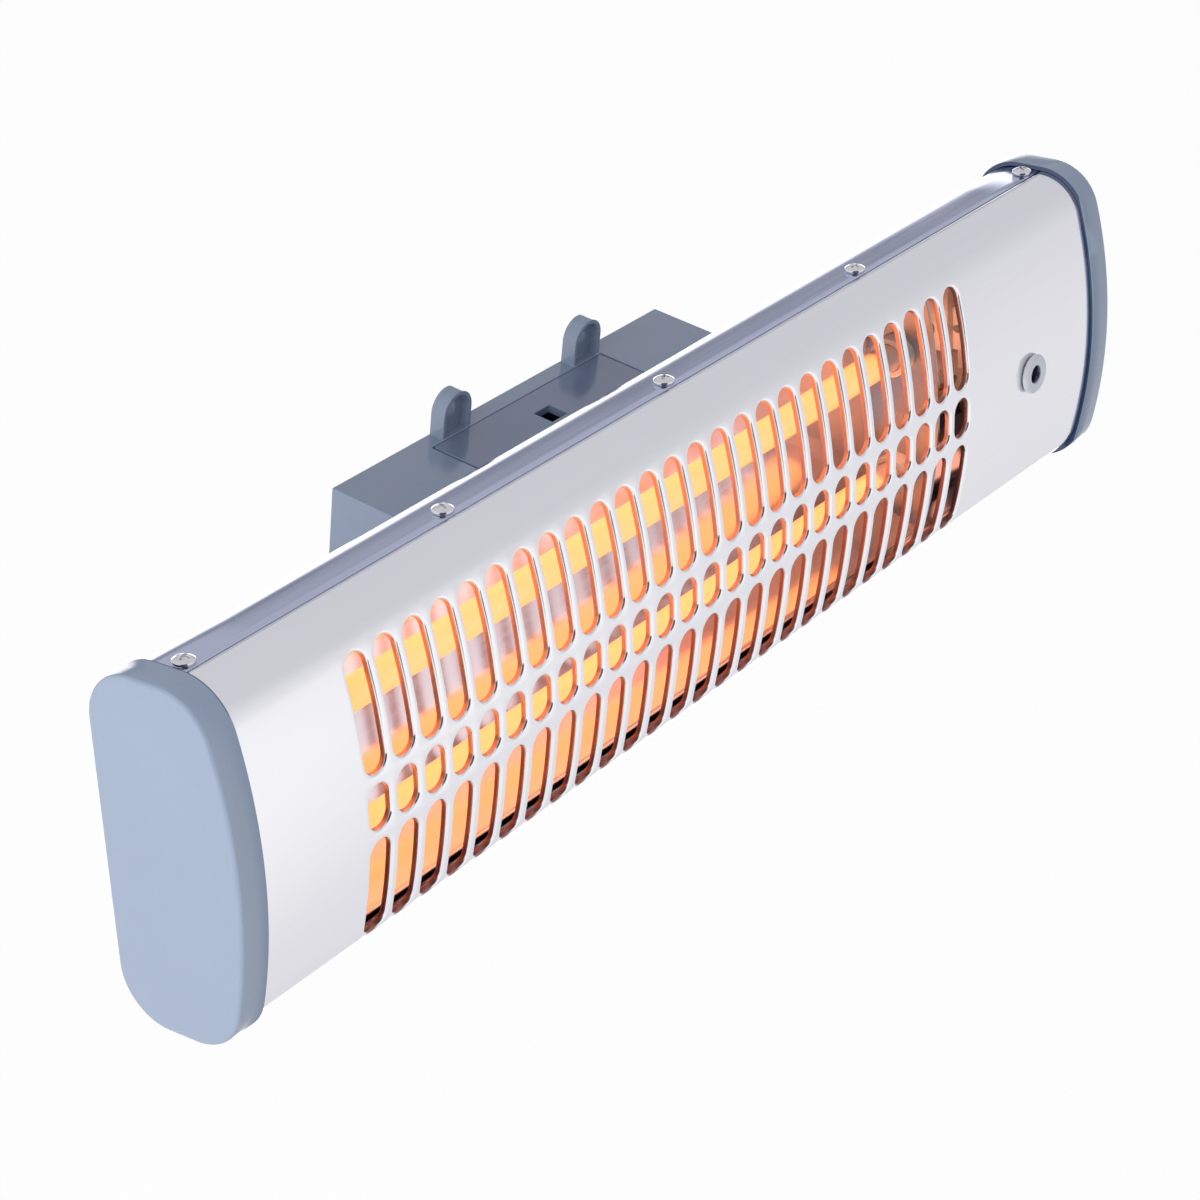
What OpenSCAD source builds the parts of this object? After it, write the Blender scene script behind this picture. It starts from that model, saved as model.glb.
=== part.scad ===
// Infrared bar heater for a wall: a long casing with a slotted front that tilts on a wall bracket.
// X runs along the heater, Y runs into the wall and Z is up.
// The origin is midway between the two screw holes of the wall bracket, on the wall.

/* [Casing] */
// Overall length over both end caps
body_l = 473; // [440:1:560]
// Height of the casing
body_h = 109; // [104:1:124]
// Depth of the casing from the crest of the front to the flat back
body_d = 46.8; // [44:0.2:56]
// Radius of the bulged front
front_r = 170; // [150:1:260]
// Radius of the front corners
front_corner_r = 16.5; // [14:0.5:20]
// Radius of the back corners
back_corner_r = 15.5; // [12:0.5:18]
// Sheet thickness of both shells
sheet_t = 0.8; // [0.6:0.1:1.2]
// Distance from the casing's mid depth to the edge of the front shell
seam_y = 1.9; // [1:0.1:4]
// Width of the open line between the two shells
seam_gap = 0.6; // [0.4:0.1:1]
// How far the front shell's tongue reaches under the rear shell
tongue_l = 8; // [7:0.5:9]
// Lean of the casing towards the wall at the upper stop
lean = 9.2; // [5:0.1:11]

/* [Grille] */
// Distance from the casing's left end to the middle of the first slot column
grille_inset = 60.65; // [58:0.05:64]
// Least distance from the last slot column to the casing's right end
grille_end = 99.6; // [97:0.2:99.8]
// Distance between slot columns
slot_pitch = 12.5; // [12:0.1:13]
// Clear width of a slot
slot_w = 9.2; // [8:0.1:9.4]
// Length of the upper slots
upper_slot_l = 36.5; // [30:0.5:38]
// Length of the short middle slots
middle_slot_l = 14.5; // [12:0.5:15]
// Height of the lower slots' lower end above the casing's bottom
grille_foot = 7.5; // [6:0.5:8]
// Web between two rows of slots
slot_web = 3.5; // [3:0.1:4]
// Distance from the casing's top down to the upper slots
grille_drop = 11; // [10.5:0.1:12]
// Wall of the lip rolled in around each slot
lip_t = 0.8; // [0.6:0.1:0.9]
// Depth of the lip behind the front surface
lip_depth = 2.4; // [2:0.1:4]

/* [End caps] */
// Length of the cap's rim along the casing
cap_depth = 11; // [9:0.5:12]
// Wall of the rim around the shells
cap_wall = 1.4; // [1.2:0.1:2]
// Thickness of the cap's end face
cap_face = 2.6; // [2:0.1:4]
// Rounding between the end face and the rim
cap_edge_r = 1.2; // [0.8:0.1:1.4]
// Width of the lug that takes the casing screw
lug_w = 9; // [8:0.5:10]
// Thickness of that lug
lug_t = 7; // [6:0.5:8]

/* [Casing screws] */
// Distance from the casing's end to the outermost casing screw
screw_inset = 16.5; // [14:0.5:18]
// Distance from the shell seam to the screw axis
screw_setback = 4.6; // [4:0.1:4.6]
// Radius of the pan head
head_r = 3.4; // [3.2:0.1:4]
// Height of the pan head
head_h = 2.3; // [2:0.1:2.6]
// Radius of the threaded shank
shank_r = 1.7; // [1.5:0.1:1.9]
// Length of the shank
shank_l = 8; // [7:0.5:8]
// Width of one arm of the cross recess
recess_w = 0.9; // [0.7:0.1:1.1]
// Depth of the cross recess
recess_d = 1.1; // [0.8:0.1:1.3]

/* [Wall bracket] */
// Width of the bracket
bracket_w = 170; // [160:1:180]
// Height of the bracket
bracket_h = 50; // [48:1:54]
// Depth of the bracket from the wall
bracket_d = 37; // [36:0.5:38]
// Wall of the hollow cheeks
bracket_wall = 2.5; // [2:0.1:3]
// Thickness of the plate behind the tilting arm
plate_t = 6; // [5.5:0.1:6]
// Distance between the two screw holes
ear_pitch = 69; // [66:1:72]
// Width of a screw ear
ear_w = 14; // [13.5:0.5:17]
// Height of the hole above the bracket's top
ear_rise = 7.5; // [7:0.1:9]
// Thickness of an ear
ear_t = 5.5; // [5:0.1:5.5]
// Wall of the rim around the ear's recess
ear_rim = 1.5; // [1.2:0.1:2]
// Thickness of the web behind the recess
ear_web = 2.5; // [2:0.1:3]
// Radius of the wall screw hole
wall_hole_r = 2.4; // [2.2:0.1:2.8]
// How far the casing's middle lies left of the screw holes' middle
casing_left = 4; // [3:0.5:5]
// Distance from the wall to the casing's middle
casing_out = 73.1; // [73:0.1:76]
// Distance from the screw holes down to the casing's middle
casing_drop = 32.4; // [31:0.1:34]

/* [Tilting arm] */
// Width of the arm between the cheeks
arm_w = 88; // [80:1:92]
// How far the arm's middle lies right of the casing's middle
arm_right = 1; // [0:0.5:2]
// Running gap between the arm and each cheek
arm_gap = 0.8; // [0.6:0.1:1]
// Wall of the arm
arm_wall = 3; // [2.4:0.1:3.4]
// Distance from the wall to the tilt axis
pivot_out = 27; // [26.8:0.1:27.4]
// Distance from the screw holes down to the tilt axis
pivot_drop = 39.5; // [39:0.1:40]
// Gap between the arm and the plate behind it
stop_gap = 0.4; // [0.3:0.1:0.6]
// Width of the window in the arm's top
window_w = 8; // [6:0.5:10]
// Length of that window towards the wall
window_l = 7.5; // [6:0.5:9]
// Distance from the wall to the window
window_out = 15.5; // [14:0.5:17]
// Radius of the bosses that take the arm screws
boss_r = 4.2; // [3.8:0.1:4.6]
// Depth of those bosses behind the casing
boss_l = 12; // [10:0.5:12.5]
// Height of the arm screws above and below the casing's middle
arm_screw_z = 14; // [13:0.5:15]

/* [Pivot] */
// Radius of the pivot screw
pivot_r = 3; // [2.5:0.1:3.2]
// Running clearance around the pivot screw
pivot_gap = 0.05; // [0.03:0.01:0.08]
// Radius of the pivot screw's head
pivot_head_r = 5.5; // [5:0.1:6]
// Thickness of the pivot screw's head
pivot_head_t = 3; // [2.5:0.1:3.5]
// Thickness of the spring washer under the head
spring_washer_t = 1.2; // [1:0.1:1.5]
// Width across the flats of the lock nut
nut_af = 10; // [9.5:0.1:11]
// Thickness of the lock nut
nut_t = 5; // [4:0.1:6]
// Radius of the fibre washer beside the arm
friction_r = 8; // [7:0.5:9]
// Side play left between the arm and what clamps it
side_play = 0.15; // [0.1:0.05:0.2]

/* [Heating elements] */
// Outer radius of a quartz tube
tube_r = 5; // [4.5:0.1:5.5]
// Wall of a quartz tube
tube_wall = 1; // [0.8:0.1:1.2]
// Distance from the casing's left end to the glowing length
glow_inset = 40.5; // [40:0.5:46]
// Distance from the glowing length to the casing's right end
glow_end = 121.5; // [120:0.5:126]
// Radius of the wound heating wire
coil_r = 3.3; // [3:0.1:3.4]
// Radius of the straight tails of the heating wire
tail_r = 0.9; // [0.7:0.1:1.1]
// Distance between the two tubes
tube_pitch = 44.2; // [42:0.1:45]
// How far the middle between the tubes lies below the casing's middle
tube_drop = 3.1; // [2.5:0.1:3.5]
// How far the tubes lie in front of the casing's mid depth
tube_forward = 1.8; // [1:0.1:3]
// Distance from the glowing length to the sheet that carries the tube
cold_l = 14; // [12:0.5:14]
// Radius of the ceramic holder's neck
holder_r = 7; // [6.8:0.1:7.4]
// Radius of the ceramic holder's collar
collar_r = 9; // [8.5:0.1:9.5]
// Thickness of that collar
collar_t = 3; // [2.5:0.1:3.5]
// Length of the neck on the tube's side of the sheet
neck_l = 6; // [5:0.5:7]
// Length of the holder on the outer side of the collar
holder_back_l = 6; // [5:0.5:7]
// Fit of the ceramic holders on the tubes and in their sheets
holder_gap = 0.1; // [0.05:0.05:0.2]
// Radius of a terminal stud
stud_r = 1.8; // [1.5:0.1:2]
// Length of a terminal stud outside its holder
stud_l = 7; // [6:0.5:7]

/* [Reflector] */
// Sheet thickness of the reflector
reflector_t = 0.6; // [0.5:0.1:0.8]
// Distance from the casing's mid depth back to the reflector's flat
reflector_back = 10.4; // [9.5:0.1:12]
// Distance from the mouth's edge to the height of the casing's top
reflector_clear = 12.5; // [11.5:0.5:15]
// How far each wall of the trough rises outwards
reflector_flare = 7; // [5:0.5:9]
// Distance from the casing's mid depth forward to the mouth
reflector_front = 9; // [7:0.5:10]
// Width of the stiffening hem at the mouth
reflector_hem = 2; // [1.5:0.1:2.5]

/* [Tube sheets] */
// Thickness of the sheets that carry the tubes
carrier_t = 1; // [0.8:0.1:1.2]
// Clearance of these sheets inside the casing
carrier_inset = 5; // [4.5:0.1:6]
// Distance from the foot's end to the rounding of the casing's back
foot_clear = 9; // [7:1:11]
// Length of the foot
foot_l = 11; // [10:0.5:12]
// Distance from the foot's end to its screw
foot_screw_inset = 10; // [8:0.5:12]
// Radius of the small screws
small_r = 1.5; // [1.3:0.1:1.6]
// Head radius of the small screws
small_head_r = 3; // [2.8:0.1:3.2]
// Head height of the small screws
small_head_h = 1.8; // [1.5:0.1:2]
// Length of the small screws
small_l = 6; // [5:0.5:6.5]

/* [Cord guide and switch] */
// Distance from the casing's right end to the pull cord guide
guide_inset = 53; // [50:0.5:58]
// How far the guide lies below the casing's middle
guide_drop = 4; // [3:0.1:5]
// Radius of the guide's flange
guide_flange_r = 7.2; // [6.8:0.1:7.6]
// Thickness of the guide's flange
guide_flange_t = 2.2; // [1.8:0.1:2.5]
// Radius of the guide's barrel
guide_barrel_r = 4.6; // [4.2:0.1:5]
// Length of the barrel behind the front surface
guide_barrel_l = 8; // [7:0.5:9]
// Radius of the guide's bore
guide_bore_r = 2.6; // [2.2:0.1:2.9]
// Thickness of the ring nut behind the sheet
guide_nut_t = 2.5; // [2:0.1:3]
// Width of the switch housing
switch_w = 22; // [20:0.5:24]
// Height of the switch housing
switch_h = 27; // [24:0.5:28]
// Depth of the switch housing
switch_d = 18; // [16:0.5:18.5]
// Length of the switch lever from its pin to the cord hole
lever_l = 14; // [12:0.5:15]
// Thickness of the switch lever
lever_t = 3; // [2.4:0.1:3.4]
// Width of the switch lever
lever_w = 8; // [7:0.5:9]
// Radius of the lever's pin
lever_pin_r = 1.5; // [1.2:0.1:1.8]
// Radius of the cord hole in the lever
cord_hole_r = 1.2; // [1:0.1:1.4]

/* [Wiring] */
// Length of the terminal block
block_l = 26; // [24:0.5:28]
// Height of the terminal block
block_h = 18; // [16:0.5:20]
// Depth of the terminal block
block_d = 14; // [12:0.5:15]
// Number of terminal screws in a row
block_ways = 3; // [2:1:3]
// Distance from the casing's right end to the cable gland
gland_inset = 30.5; // [28:0.5:31]
// Radius of the gland's bore
gland_bore_r = 3.8; // [3.2:0.1:4.2]
// Radius of the gland's barrel
gland_barrel_r = 6.5; // [6:0.1:7]
// Radius of the gland's collar
gland_collar_r = 9; // [8.5:0.1:9.5]
// Length of the gland outside the casing
gland_out_l = 9; // [7:0.5:10]
// Length of the gland inside the casing
gland_in_l = 7; // [6:0.5:8]
// Thickness of the gland nut
gland_nut_t = 3; // [2.5:0.1:4]
// Radius of an insulated wire
wire_r = 1.3; // [1:0.1:1.5]
// Radius of the thermal cut-out
cutout_r = 8; // [7:0.5:8.5]
// Thickness of the thermal cut-out
cutout_t = 6; // [5:0.5:7]

/* [Hidden] */
$fn = 48;

// Overrun of every cut
over = 1;
// Clearance between pieces that are seated on each other
seat = 0.05;
half_l = body_l / 2;
half_h = body_h / 2;
front_y = -body_d / 2;
back_y = body_d / 2;
cap_gap = 0.1;
cap_out = cap_gap + cap_wall;
shell_end = half_l - cap_face - seat;
rim_x = half_l - cap_depth;
// Centres of the arcs that make the casing's outline
bulge_y = front_y + front_r;
corner_z = half_h - front_corner_r;
corner_y = bulge_y - sqrt(pow(front_r - front_corner_r, 2) - pow(corner_z, 2));
heel_y = back_y - back_corner_r;
heel_z = half_h - back_corner_r;
// How far the wedge that bounds the bulge reaches past it
wedge_share = 1.3;

edge_y = -seam_y;
rear_edge_y = edge_y + seam_gap;
tongue_end_y = edge_y + tongue_l;
screw_y = edge_y + screw_setback;
lug_x = half_l - screw_inset;
screw_xs = [for (i = [-2:2]) i * lug_x / 2];

slot_x0 = grille_inset - half_l;
slot_count = 1 + floor((body_l - grille_inset - grille_end) / slot_pitch);
grille_top = half_h - grille_drop;
lower_slot_l = body_h - grille_drop - grille_foot - upper_slot_l - middle_slot_l - 2 * slot_web;
slot_lengths = [upper_slot_l, middle_slot_l, lower_slot_l];
slot_tops = [
    grille_top,
    grille_top - upper_slot_l - slot_web,
    grille_top - upper_slot_l - middle_slot_l - 2 * slot_web
];

bracket_top = -ear_rise;
bracket_bottom = bracket_top - bracket_h;
bracket_x0 = -casing_left - bracket_w / 2;
bracket_x1 = -casing_left + bracket_w / 2;
arm_x0 = -casing_left + arm_right - arm_w / 2;
arm_x1 = -casing_left + arm_right + arm_w / 2;
arm_sides = [[arm_x0, -1], [arm_x1, 1]];
arm_r = pivot_out - plate_t - stop_gap;
window_x = -casing_left + arm_right;

glow_x0 = glow_inset - half_l;
glow_x1 = half_l - glow_end;
left_sheet_x = glow_x0 - cold_l;
right_sheet_x = glow_x1 + cold_l;
tube_y = -tube_forward;
tube_zs = [-tube_drop + tube_pitch / 2, -tube_drop - tube_pitch / 2];
holder_out = collar_t + holder_back_l;
strap_t = 0.8;
strap_w = 9;

reflector_mouth = half_h - reflector_clear;
reflector_flat = reflector_mouth - reflector_flare;
foot_half = heel_z - foot_clear;
foot_screw_z = foot_half - foot_screw_inset;

inner_back = back_y - sheet_t;
guide_x = half_l - guide_inset;
guide_y = front_y - seat;
guide_nut_y = bulge_y - sqrt(pow(front_r - sheet_t, 2) - pow(guide_drop + guide_flange_r, 2)) + seat;
switch_y1 = inner_back - seat;
switch_y0 = switch_y1 - switch_d;
lever_z = -guide_drop + lever_l;
lever_y = switch_y0 - lever_t - seat;
switch_z0 = lever_z - lever_w;
fork_w = lever_w + 2 * side_play;
block_x = guide_x;
block_z1 = switch_z0 - wire_r * 6;
block_y1 = inner_back - seat;
block_pitch = block_l / block_ways;
gland_x = half_l - gland_inset;
gland_z = gland_collar_r - heel_z;
earth_x = guide_x - switch_w;
earth_z = gland_z;
cutout_y = tube_y + reflector_back;
wire_y = block_y1 - block_d / 3;
return_y = reflector_back + reflector_t + 3 * wire_r;
return_z = block_z1 - block_h / 2;
stud_end = right_sheet_x + carrier_t + holder_out + strap_t + seat + stud_l;

// Place in the leaning casing, whose own origin is its middle
module in_casing() {
    translate([-casing_left, -casing_out, -casing_drop]) rotate([-lean, 0, 0]) children();
}

// Extrude a shape drawn as Y and Z along X
module along_x(x0, x1) {
    translate([x0, 0, 0]) rotate([90, 0, 90]) linear_extrude(x1 - x0) children();
}

// Extrude a shape drawn as X and Z along Y
module along_y(y0, y1) {
    translate([0, y1, 0]) rotate([90, 0, 0]) linear_extrude(y1 - y0) children();
}

// Round bar along X
module bar_x(x0, x1, r) {
    translate([x0, 0, 0]) rotate([0, 90, 0]) cylinder(h = x1 - x0, r = r);
}

// Round bar along Y
module bar_y(y0, y1, r) {
    translate([0, y1, 0]) rotate([90, 0, 0]) cylinder(h = y1 - y0, r = r);
}

// Outline of the casing in Y and Z, drawn in from its outer surface by inset
module casing_outline(inset) {
    reach = wedge_share * (bulge_y - corner_y);
    intersection() {
        translate([bulge_y, 0]) circle(front_r - inset, $fn = 360);
        polygon([
            [corner_y, corner_z],
            [bulge_y - reach, wedge_share * corner_z],
            [bulge_y - reach, -wedge_share * corner_z],
            [corner_y, -corner_z]
        ]);
    }
    for (side = [-1, 1]) {
        translate([corner_y, side * corner_z]) circle(front_corner_r - inset);
        translate([heel_y, side * heel_z]) circle(back_corner_r - inset);
    }
    translate([corner_y, inset - half_h]) square([heel_y - corner_y, body_h - 2 * inset]);
    translate([corner_y, -heel_z]) square([back_y - inset - corner_y, 2 * heel_z]);
}

// Wall of the casing between two depths below its outer surface
module casing_wall(from, to) {
    difference() {
        casing_outline(from);
        casing_outline(to);
    }
}

// Strip between two depths of the casing, from y0 to y1
module y_band(y0, y1) {
    translate([y0, -body_h]) square([y1 - y0, 2 * body_h]);
}

// Upright slot with round ends, its top at top
module obround(w, l, top) {
    translate([0, top - w / 2]) circle(w / 2);
    translate([0, top - l + w / 2]) circle(w / 2);
    translate([-w / 2, top - l + w / 2]) square([w, l - w]);
}

// All slots of the grille, grown by grow on every side
module grille(grow) {
    for (i = [0 : slot_count - 1])
        translate([slot_x0 + i * slot_pitch, 0])
            for (row = [0 : len(slot_lengths) - 1])
                obround(slot_w + 2 * grow, slot_lengths[row] + 2 * grow, slot_tops[row] + grow);
}

// Pan head screw along Z with its seat at the origin and its shank below
module pan_screw(r, l, hr, hh) {
    dome_r = (hr * hr + hh * hh / 4) / hh;
    difference() {
        union() {
            translate([0, 0, -l]) cylinder(h = l, r = r);
            intersection() {
                cylinder(h = hh, r = hr);
                translate([0, 0, hh - dome_r]) sphere(dome_r);
            }
        }
        for (turn = [0, 90])
            rotate([0, 0, turn])
                translate([-hr / 2, -recess_w / 2, hh - recess_d]) cube([hr, recess_w, recess_d + over]);
    }
}

// Hexagonal nut along X from x0 to x1 around a screw of radius r
module nut_x(x0, x1, af, r) {
    difference() {
        translate([x0, 0, 0]) rotate([0, 90, 0]) cylinder(h = x1 - x0, r = af / sqrt(3), $fn = 6);
        bar_x(x0 - over, x1 + over, r);
    }
}

// Ear outline in X and Z about the screw hole, drawn in by inset
module ear_outline(inset) {
    circle(ear_w / 2 - inset);
    translate([inset - ear_w / 2, -ear_rise - plate_t]) square([ear_w - 2 * inset, ear_rise + plate_t]);
}

// Moulded wall bracket: a plate with two ears between two hollow cheeks
module wall_bracket() {
    cheeks = [[bracket_x0, arm_x0 - arm_gap], [arm_x1 + arm_gap, bracket_x1]];
    color([0.36, 0.43, 0.52])
    difference() {
        union() {
            translate([bracket_x0, -plate_t, bracket_bottom]) cube([bracket_w, plate_t, bracket_h]);
            for (c = cheeks)
                translate([c[0], -bracket_d, bracket_bottom]) cube([c[1] - c[0], bracket_d, bracket_h]);
            for (side = [-1, 1])
                translate([side * ear_pitch / 2, 0, 0]) along_y(-ear_t, 0) ear_outline(0);
        }
        for (c = cheeks)
            translate([c[0] + bracket_wall, bracket_wall - bracket_d, bracket_bottom + bracket_wall])
                cube([c[1] - c[0] - 2 * bracket_wall, bracket_d, bracket_h - 2 * bracket_wall]);
        for (side = [-1, 1]) translate([side * ear_pitch / 2, 0, 0]) {
            along_y(-plate_t - over, -ear_web) intersection() {
                ear_outline(ear_rim);
                translate([-ear_w, -ear_rise]) square([2 * ear_w, 2 * ear_w]);
            }
            bar_y(-plate_t, over, wall_hole_r);
        }
        translate([0, -pivot_out, -pivot_drop])
            for (s = arm_sides)
                translate([s[0] + s[1] * (arm_gap + bracket_wall / 2), 0, 0])
                    bar_x(-bracket_wall, bracket_wall, pivot_r + seat);
    }
}

// Place what sits on the tilt axis at each side face of the arm, pointing outwards
module at_pivots() {
    for (s = arm_sides)
        translate([s[0], -pivot_out, -pivot_drop]) rotate([0, 0, s[1] < 0 ? 180 : 0]) children();
}

// Distances along the pivot screw, counted outwards from the arm's side face
cheek_in = arm_gap;
cheek_out = arm_gap + bracket_wall;
head_in = cheek_out + spring_washer_t;
nut_in = -arm_wall - side_play;

// Two shoulder screws through the cheeks into the arm
module pivot_screws() {
    color([0.75, 0.76, 0.78]) at_pivots() difference() {
        union() {
            bar_x(nut_in - nut_t - over, head_in, pivot_r);
            bar_x(head_in, head_in + pivot_head_t, pivot_head_r);
        }
        for (turn = [0, 90])
            rotate([turn, 0, 0])
                translate([head_in + pivot_head_t - recess_d, -recess_w / 2, -pivot_r])
                    cube([recess_d + over, recess_w, 2 * pivot_r]);
    }
}

// Ring along X
module ring_x(x0, x1, r, bore) {
    difference() {
        bar_x(x0, x1, r);
        bar_x(x0 - over, x1 + over, bore);
    }
}

// Spring washers under the heads of the pivot screws
module spring_washers() {
    color([0.6, 0.61, 0.63]) at_pivots() ring_x(cheek_out, head_in, pivot_head_r, pivot_r + seat);
}

// Fibre washers between the cheeks and the arm
module friction_washers() {
    color([0.55, 0.2, 0.14]) at_pivots() ring_x(side_play, cheek_in, friction_r, pivot_r + seat);
}

// Lock nuts inside the arm
module lock_nuts() {
    color([0.75, 0.76, 0.78]) at_pivots() nut_x(nut_in - nut_t, nut_in, nut_af, pivot_r + seat);
}

// Side outline of the arm in Y and Z, drawn in by inset
module arm_outline(inset) {
    front = -casing_out;
    translate([-pivot_out, -pivot_drop]) circle(arm_r - inset);
    translate([front, -pivot_drop]) square([casing_out - pivot_out + arm_r - inset, pivot_drop + bracket_top - inset]);
    translate([front, -pivot_drop - arm_r + inset])
        square([casing_out - pivot_out, pivot_drop + bracket_top + arm_r - 2 * inset]);
}

// Place on the flat back of the casing at the arm's four screws
module at_arm_screws() {
    inset_x = arm_w / 2 - arm_wall - boss_r / 2;
    for (side = [-1, 1]) for (level = [-1, 1])
        translate([arm_right + side * inset_x, back_y, level * arm_screw_z]) children();
}

// Hollow arm on the casing's back, open towards the casing, that turns between the cheeks
module tilt_arm() {
    color([0.34, 0.41, 0.5])
    difference() {
        union() {
            difference() {
                along_x(arm_x0, arm_x1) arm_outline(0);
                along_x(arm_x0 + arm_wall, arm_x1 - arm_wall) arm_outline(arm_wall);
            }
            in_casing() at_arm_screws() bar_y(-sheet_t, boss_l, boss_r);
        }
        in_casing() translate([-body_l, back_y - body_h, -body_h]) cube([2 * body_l, body_h, 2 * body_h]);
        in_casing() at_arm_screws() bar_y(-over, boss_l - sheet_t, small_r + seat);
        translate([0, -pivot_out, -pivot_drop])
            bar_x(arm_x0 - over, arm_x1 + over, pivot_r + pivot_gap);
        translate([window_x - window_w / 2, -window_out - window_l, bracket_top - arm_wall - over])
            cube([window_w, window_l, arm_wall + 2 * over]);
    }
}

// Four screws from inside the casing into the arm's bosses
module arm_screws() {
    color([0.75, 0.76, 0.78]) in_casing() at_arm_screws()
        translate([0, -sheet_t, 0]) rotate([90, 0, 0]) pan_screw(small_r, boss_l - 2 * sheet_t, small_head_r, small_head_h);
}

// Rear shell: back and the strips of top and bottom behind the seam
module rear_shell() {
    color([0.55, 0.58, 0.68]) in_casing() difference() {
        along_x(-shell_end, shell_end) intersection() {
            casing_wall(0, sheet_t);
            y_band(rear_edge_y, body_d);
        }
        for (x = screw_xs) for (side = [-1, 1])
            translate([x, screw_y, side * half_h]) cylinder(h = 4 * sheet_t, r = shank_r + seat, center = true);
        at_arm_screws() bar_y(-sheet_t - over, over, small_r + seat);
        at_foot_screws() bar_y(-sheet_t - over, over, small_r + seat);
        translate([gland_x, back_y, gland_z]) bar_y(-sheet_t - over, over, gland_barrel_r + seat);
        translate([earth_x, back_y, earth_z]) bar_y(-sheet_t - over, over, small_r + seat);
    }
}

// Front shell: bulged front with three rows of slots whose edges are rolled inwards
module front_shell() {
    color([0.86, 0.86, 0.9]) in_casing() difference() {
        union() {
            along_x(-shell_end, shell_end) {
                intersection() {
                    casing_wall(0, sheet_t);
                    y_band(-body_d, edge_y);
                }
                intersection() {
                    casing_wall(sheet_t, 2 * sheet_t);
                    y_band(edge_y - tongue_l / 2, tongue_end_y);
                }
            }
            intersection() {
                along_x(-shell_end, shell_end) casing_wall(sheet_t / 2, lip_depth);
                along_y(front_y - over, corner_y) grille(lip_t);
            }
        }
        along_y(front_y - over, corner_y + over) grille(0);
        for (x = screw_xs) for (side = [-1, 1])
            translate([x, screw_y, side * half_h]) cylinder(h = 8 * sheet_t, r = shank_r + seat, center = true);
        translate([guide_x, guide_y, -guide_drop])
            bar_y(-over, sheet_t + over, guide_barrel_r + seat);
    }
}

// Right end cap: a tray around the shell ends, with a lug at top and bottom for a casing screw
module end_cap() {
    steps = 3;
    lug_z = half_h - 2 * sheet_t - seat;
    difference() {
        union() {
            difference() {
                hull() {
                    along_x(rim_x, half_l - cap_edge_r) casing_outline(-cap_out);
                    for (i = [1 : steps]) {
                        a = 90 * i / steps;
                        along_x(half_l - cap_edge_r, half_l - cap_edge_r + cap_edge_r * sin(a))
                            casing_outline(cap_edge_r * (1 - cos(a)) - cap_out);
                    }
                }
                along_x(rim_x - over, half_l - cap_face) casing_outline(-cap_gap);
            }
            for (side = [-1, 1])
                translate([lug_x - lug_w / 2, screw_y - lug_w / 2, side > 0 ? lug_z - lug_t : -lug_z])
                    cube([half_l - cap_face / 2 - lug_x + lug_w / 2, lug_w, lug_t]);
        }
        for (side = [-1, 1])
            translate([lug_x, screw_y, side * lug_z]) cylinder(h = 3 * lug_t, r = shank_r + seat, center = true);
    }
}

module right_end_cap() {
    color([0.62, 0.68, 0.78]) in_casing() end_cap();
}

module left_end_cap() {
    color([0.62, 0.68, 0.78]) in_casing() mirror([1, 0, 0]) end_cap();
}

// Pan head screws along the top strip
module top_screws() {
    color([0.85, 0.85, 0.87]) in_casing()
        for (x = screw_xs) translate([x, screw_y, half_h]) pan_screw(shank_r, shank_l, head_r, head_h);
}

// Pan head screws along the bottom strip
module bottom_screws() {
    color([0.85, 0.85, 0.87]) in_casing() mirror([0, 0, 1])
        for (x = screw_xs) translate([x, screw_y, half_h]) pan_screw(shank_r, shank_l, head_r, head_h);
}

// Upper half of the trough's section in Y and Z, its sheet grown outwards by grow
function half_trough(grow) = [
    [-reflector_front - reflector_hem, reflector_mouth + grow],
    [-reflector_front, reflector_mouth + grow],
    [reflector_back + grow, reflector_flat + grow]
];
function flipped(pts) = [for (i = [len(pts) - 1 : -1 : 0]) pts[i]];
function mirrored(pts) = [for (p = flipped(pts)) [p[0], -p[1]]];

// Polished trough between the two tube sheets, with a stiffening hem along each edge
module reflector() {
    outer = half_trough(reflector_t);
    inner = half_trough(0);
    color([0.88, 0.86, 0.84]) in_casing() along_x(left_sheet_x + carrier_t, right_sheet_x)
        translate([0, -tube_drop]) polygon(concat(outer, mirrored(outer), flipped(mirrored(inner)), flipped(inner)));
}

// Place at the two screws of one tube sheet's foot
module at_foot(x) {
    for (level = [-1, 1]) translate([x, back_y, level * foot_screw_z]) children();
}

foot_xs = [left_sheet_x - foot_l / 2, right_sheet_x + carrier_t + foot_l / 2];

module at_foot_screws() {
    for (x = foot_xs) at_foot(x) children();
}

// Sheet that carries one end of both tubes, its foot running to side outer
module tube_sheet(x, outer) {
    foot_x0 = outer < 0 ? x - foot_l : x;
    difference() {
        union() {
            along_x(x, x + carrier_t) {
                casing_outline(carrier_inset);
                translate([0, -foot_half]) square([inner_back - seat, 2 * foot_half]);
            }
            translate([foot_x0, inner_back - seat - carrier_t, -foot_half])
                cube([foot_l + carrier_t, carrier_t, 2 * foot_half]);
        }
        for (z = tube_zs)
            translate([0, tube_y, z]) bar_x(x - over, x + carrier_t + over, holder_r + holder_gap);
        at_foot_screws() bar_y(-foot_l, over, small_r + seat);
        translate([0, return_y, return_z]) bar_x(x - over, x + carrier_t + over, wire_r + holder_gap);
    }
}

module left_tube_sheet() {
    color([0.72, 0.72, 0.74]) in_casing() tube_sheet(left_sheet_x, -1);
}

module right_tube_sheet() {
    color([0.72, 0.72, 0.74]) in_casing() tube_sheet(right_sheet_x, 1);
}

// Screws that hold the feet of the tube sheets to the rear shell
module foot_screws() {
    color([0.8, 0.8, 0.82]) in_casing() at_foot_screws()
        rotate([-90, 0, 0]) pan_screw(small_r, small_l, small_head_r, small_head_h);
}

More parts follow.
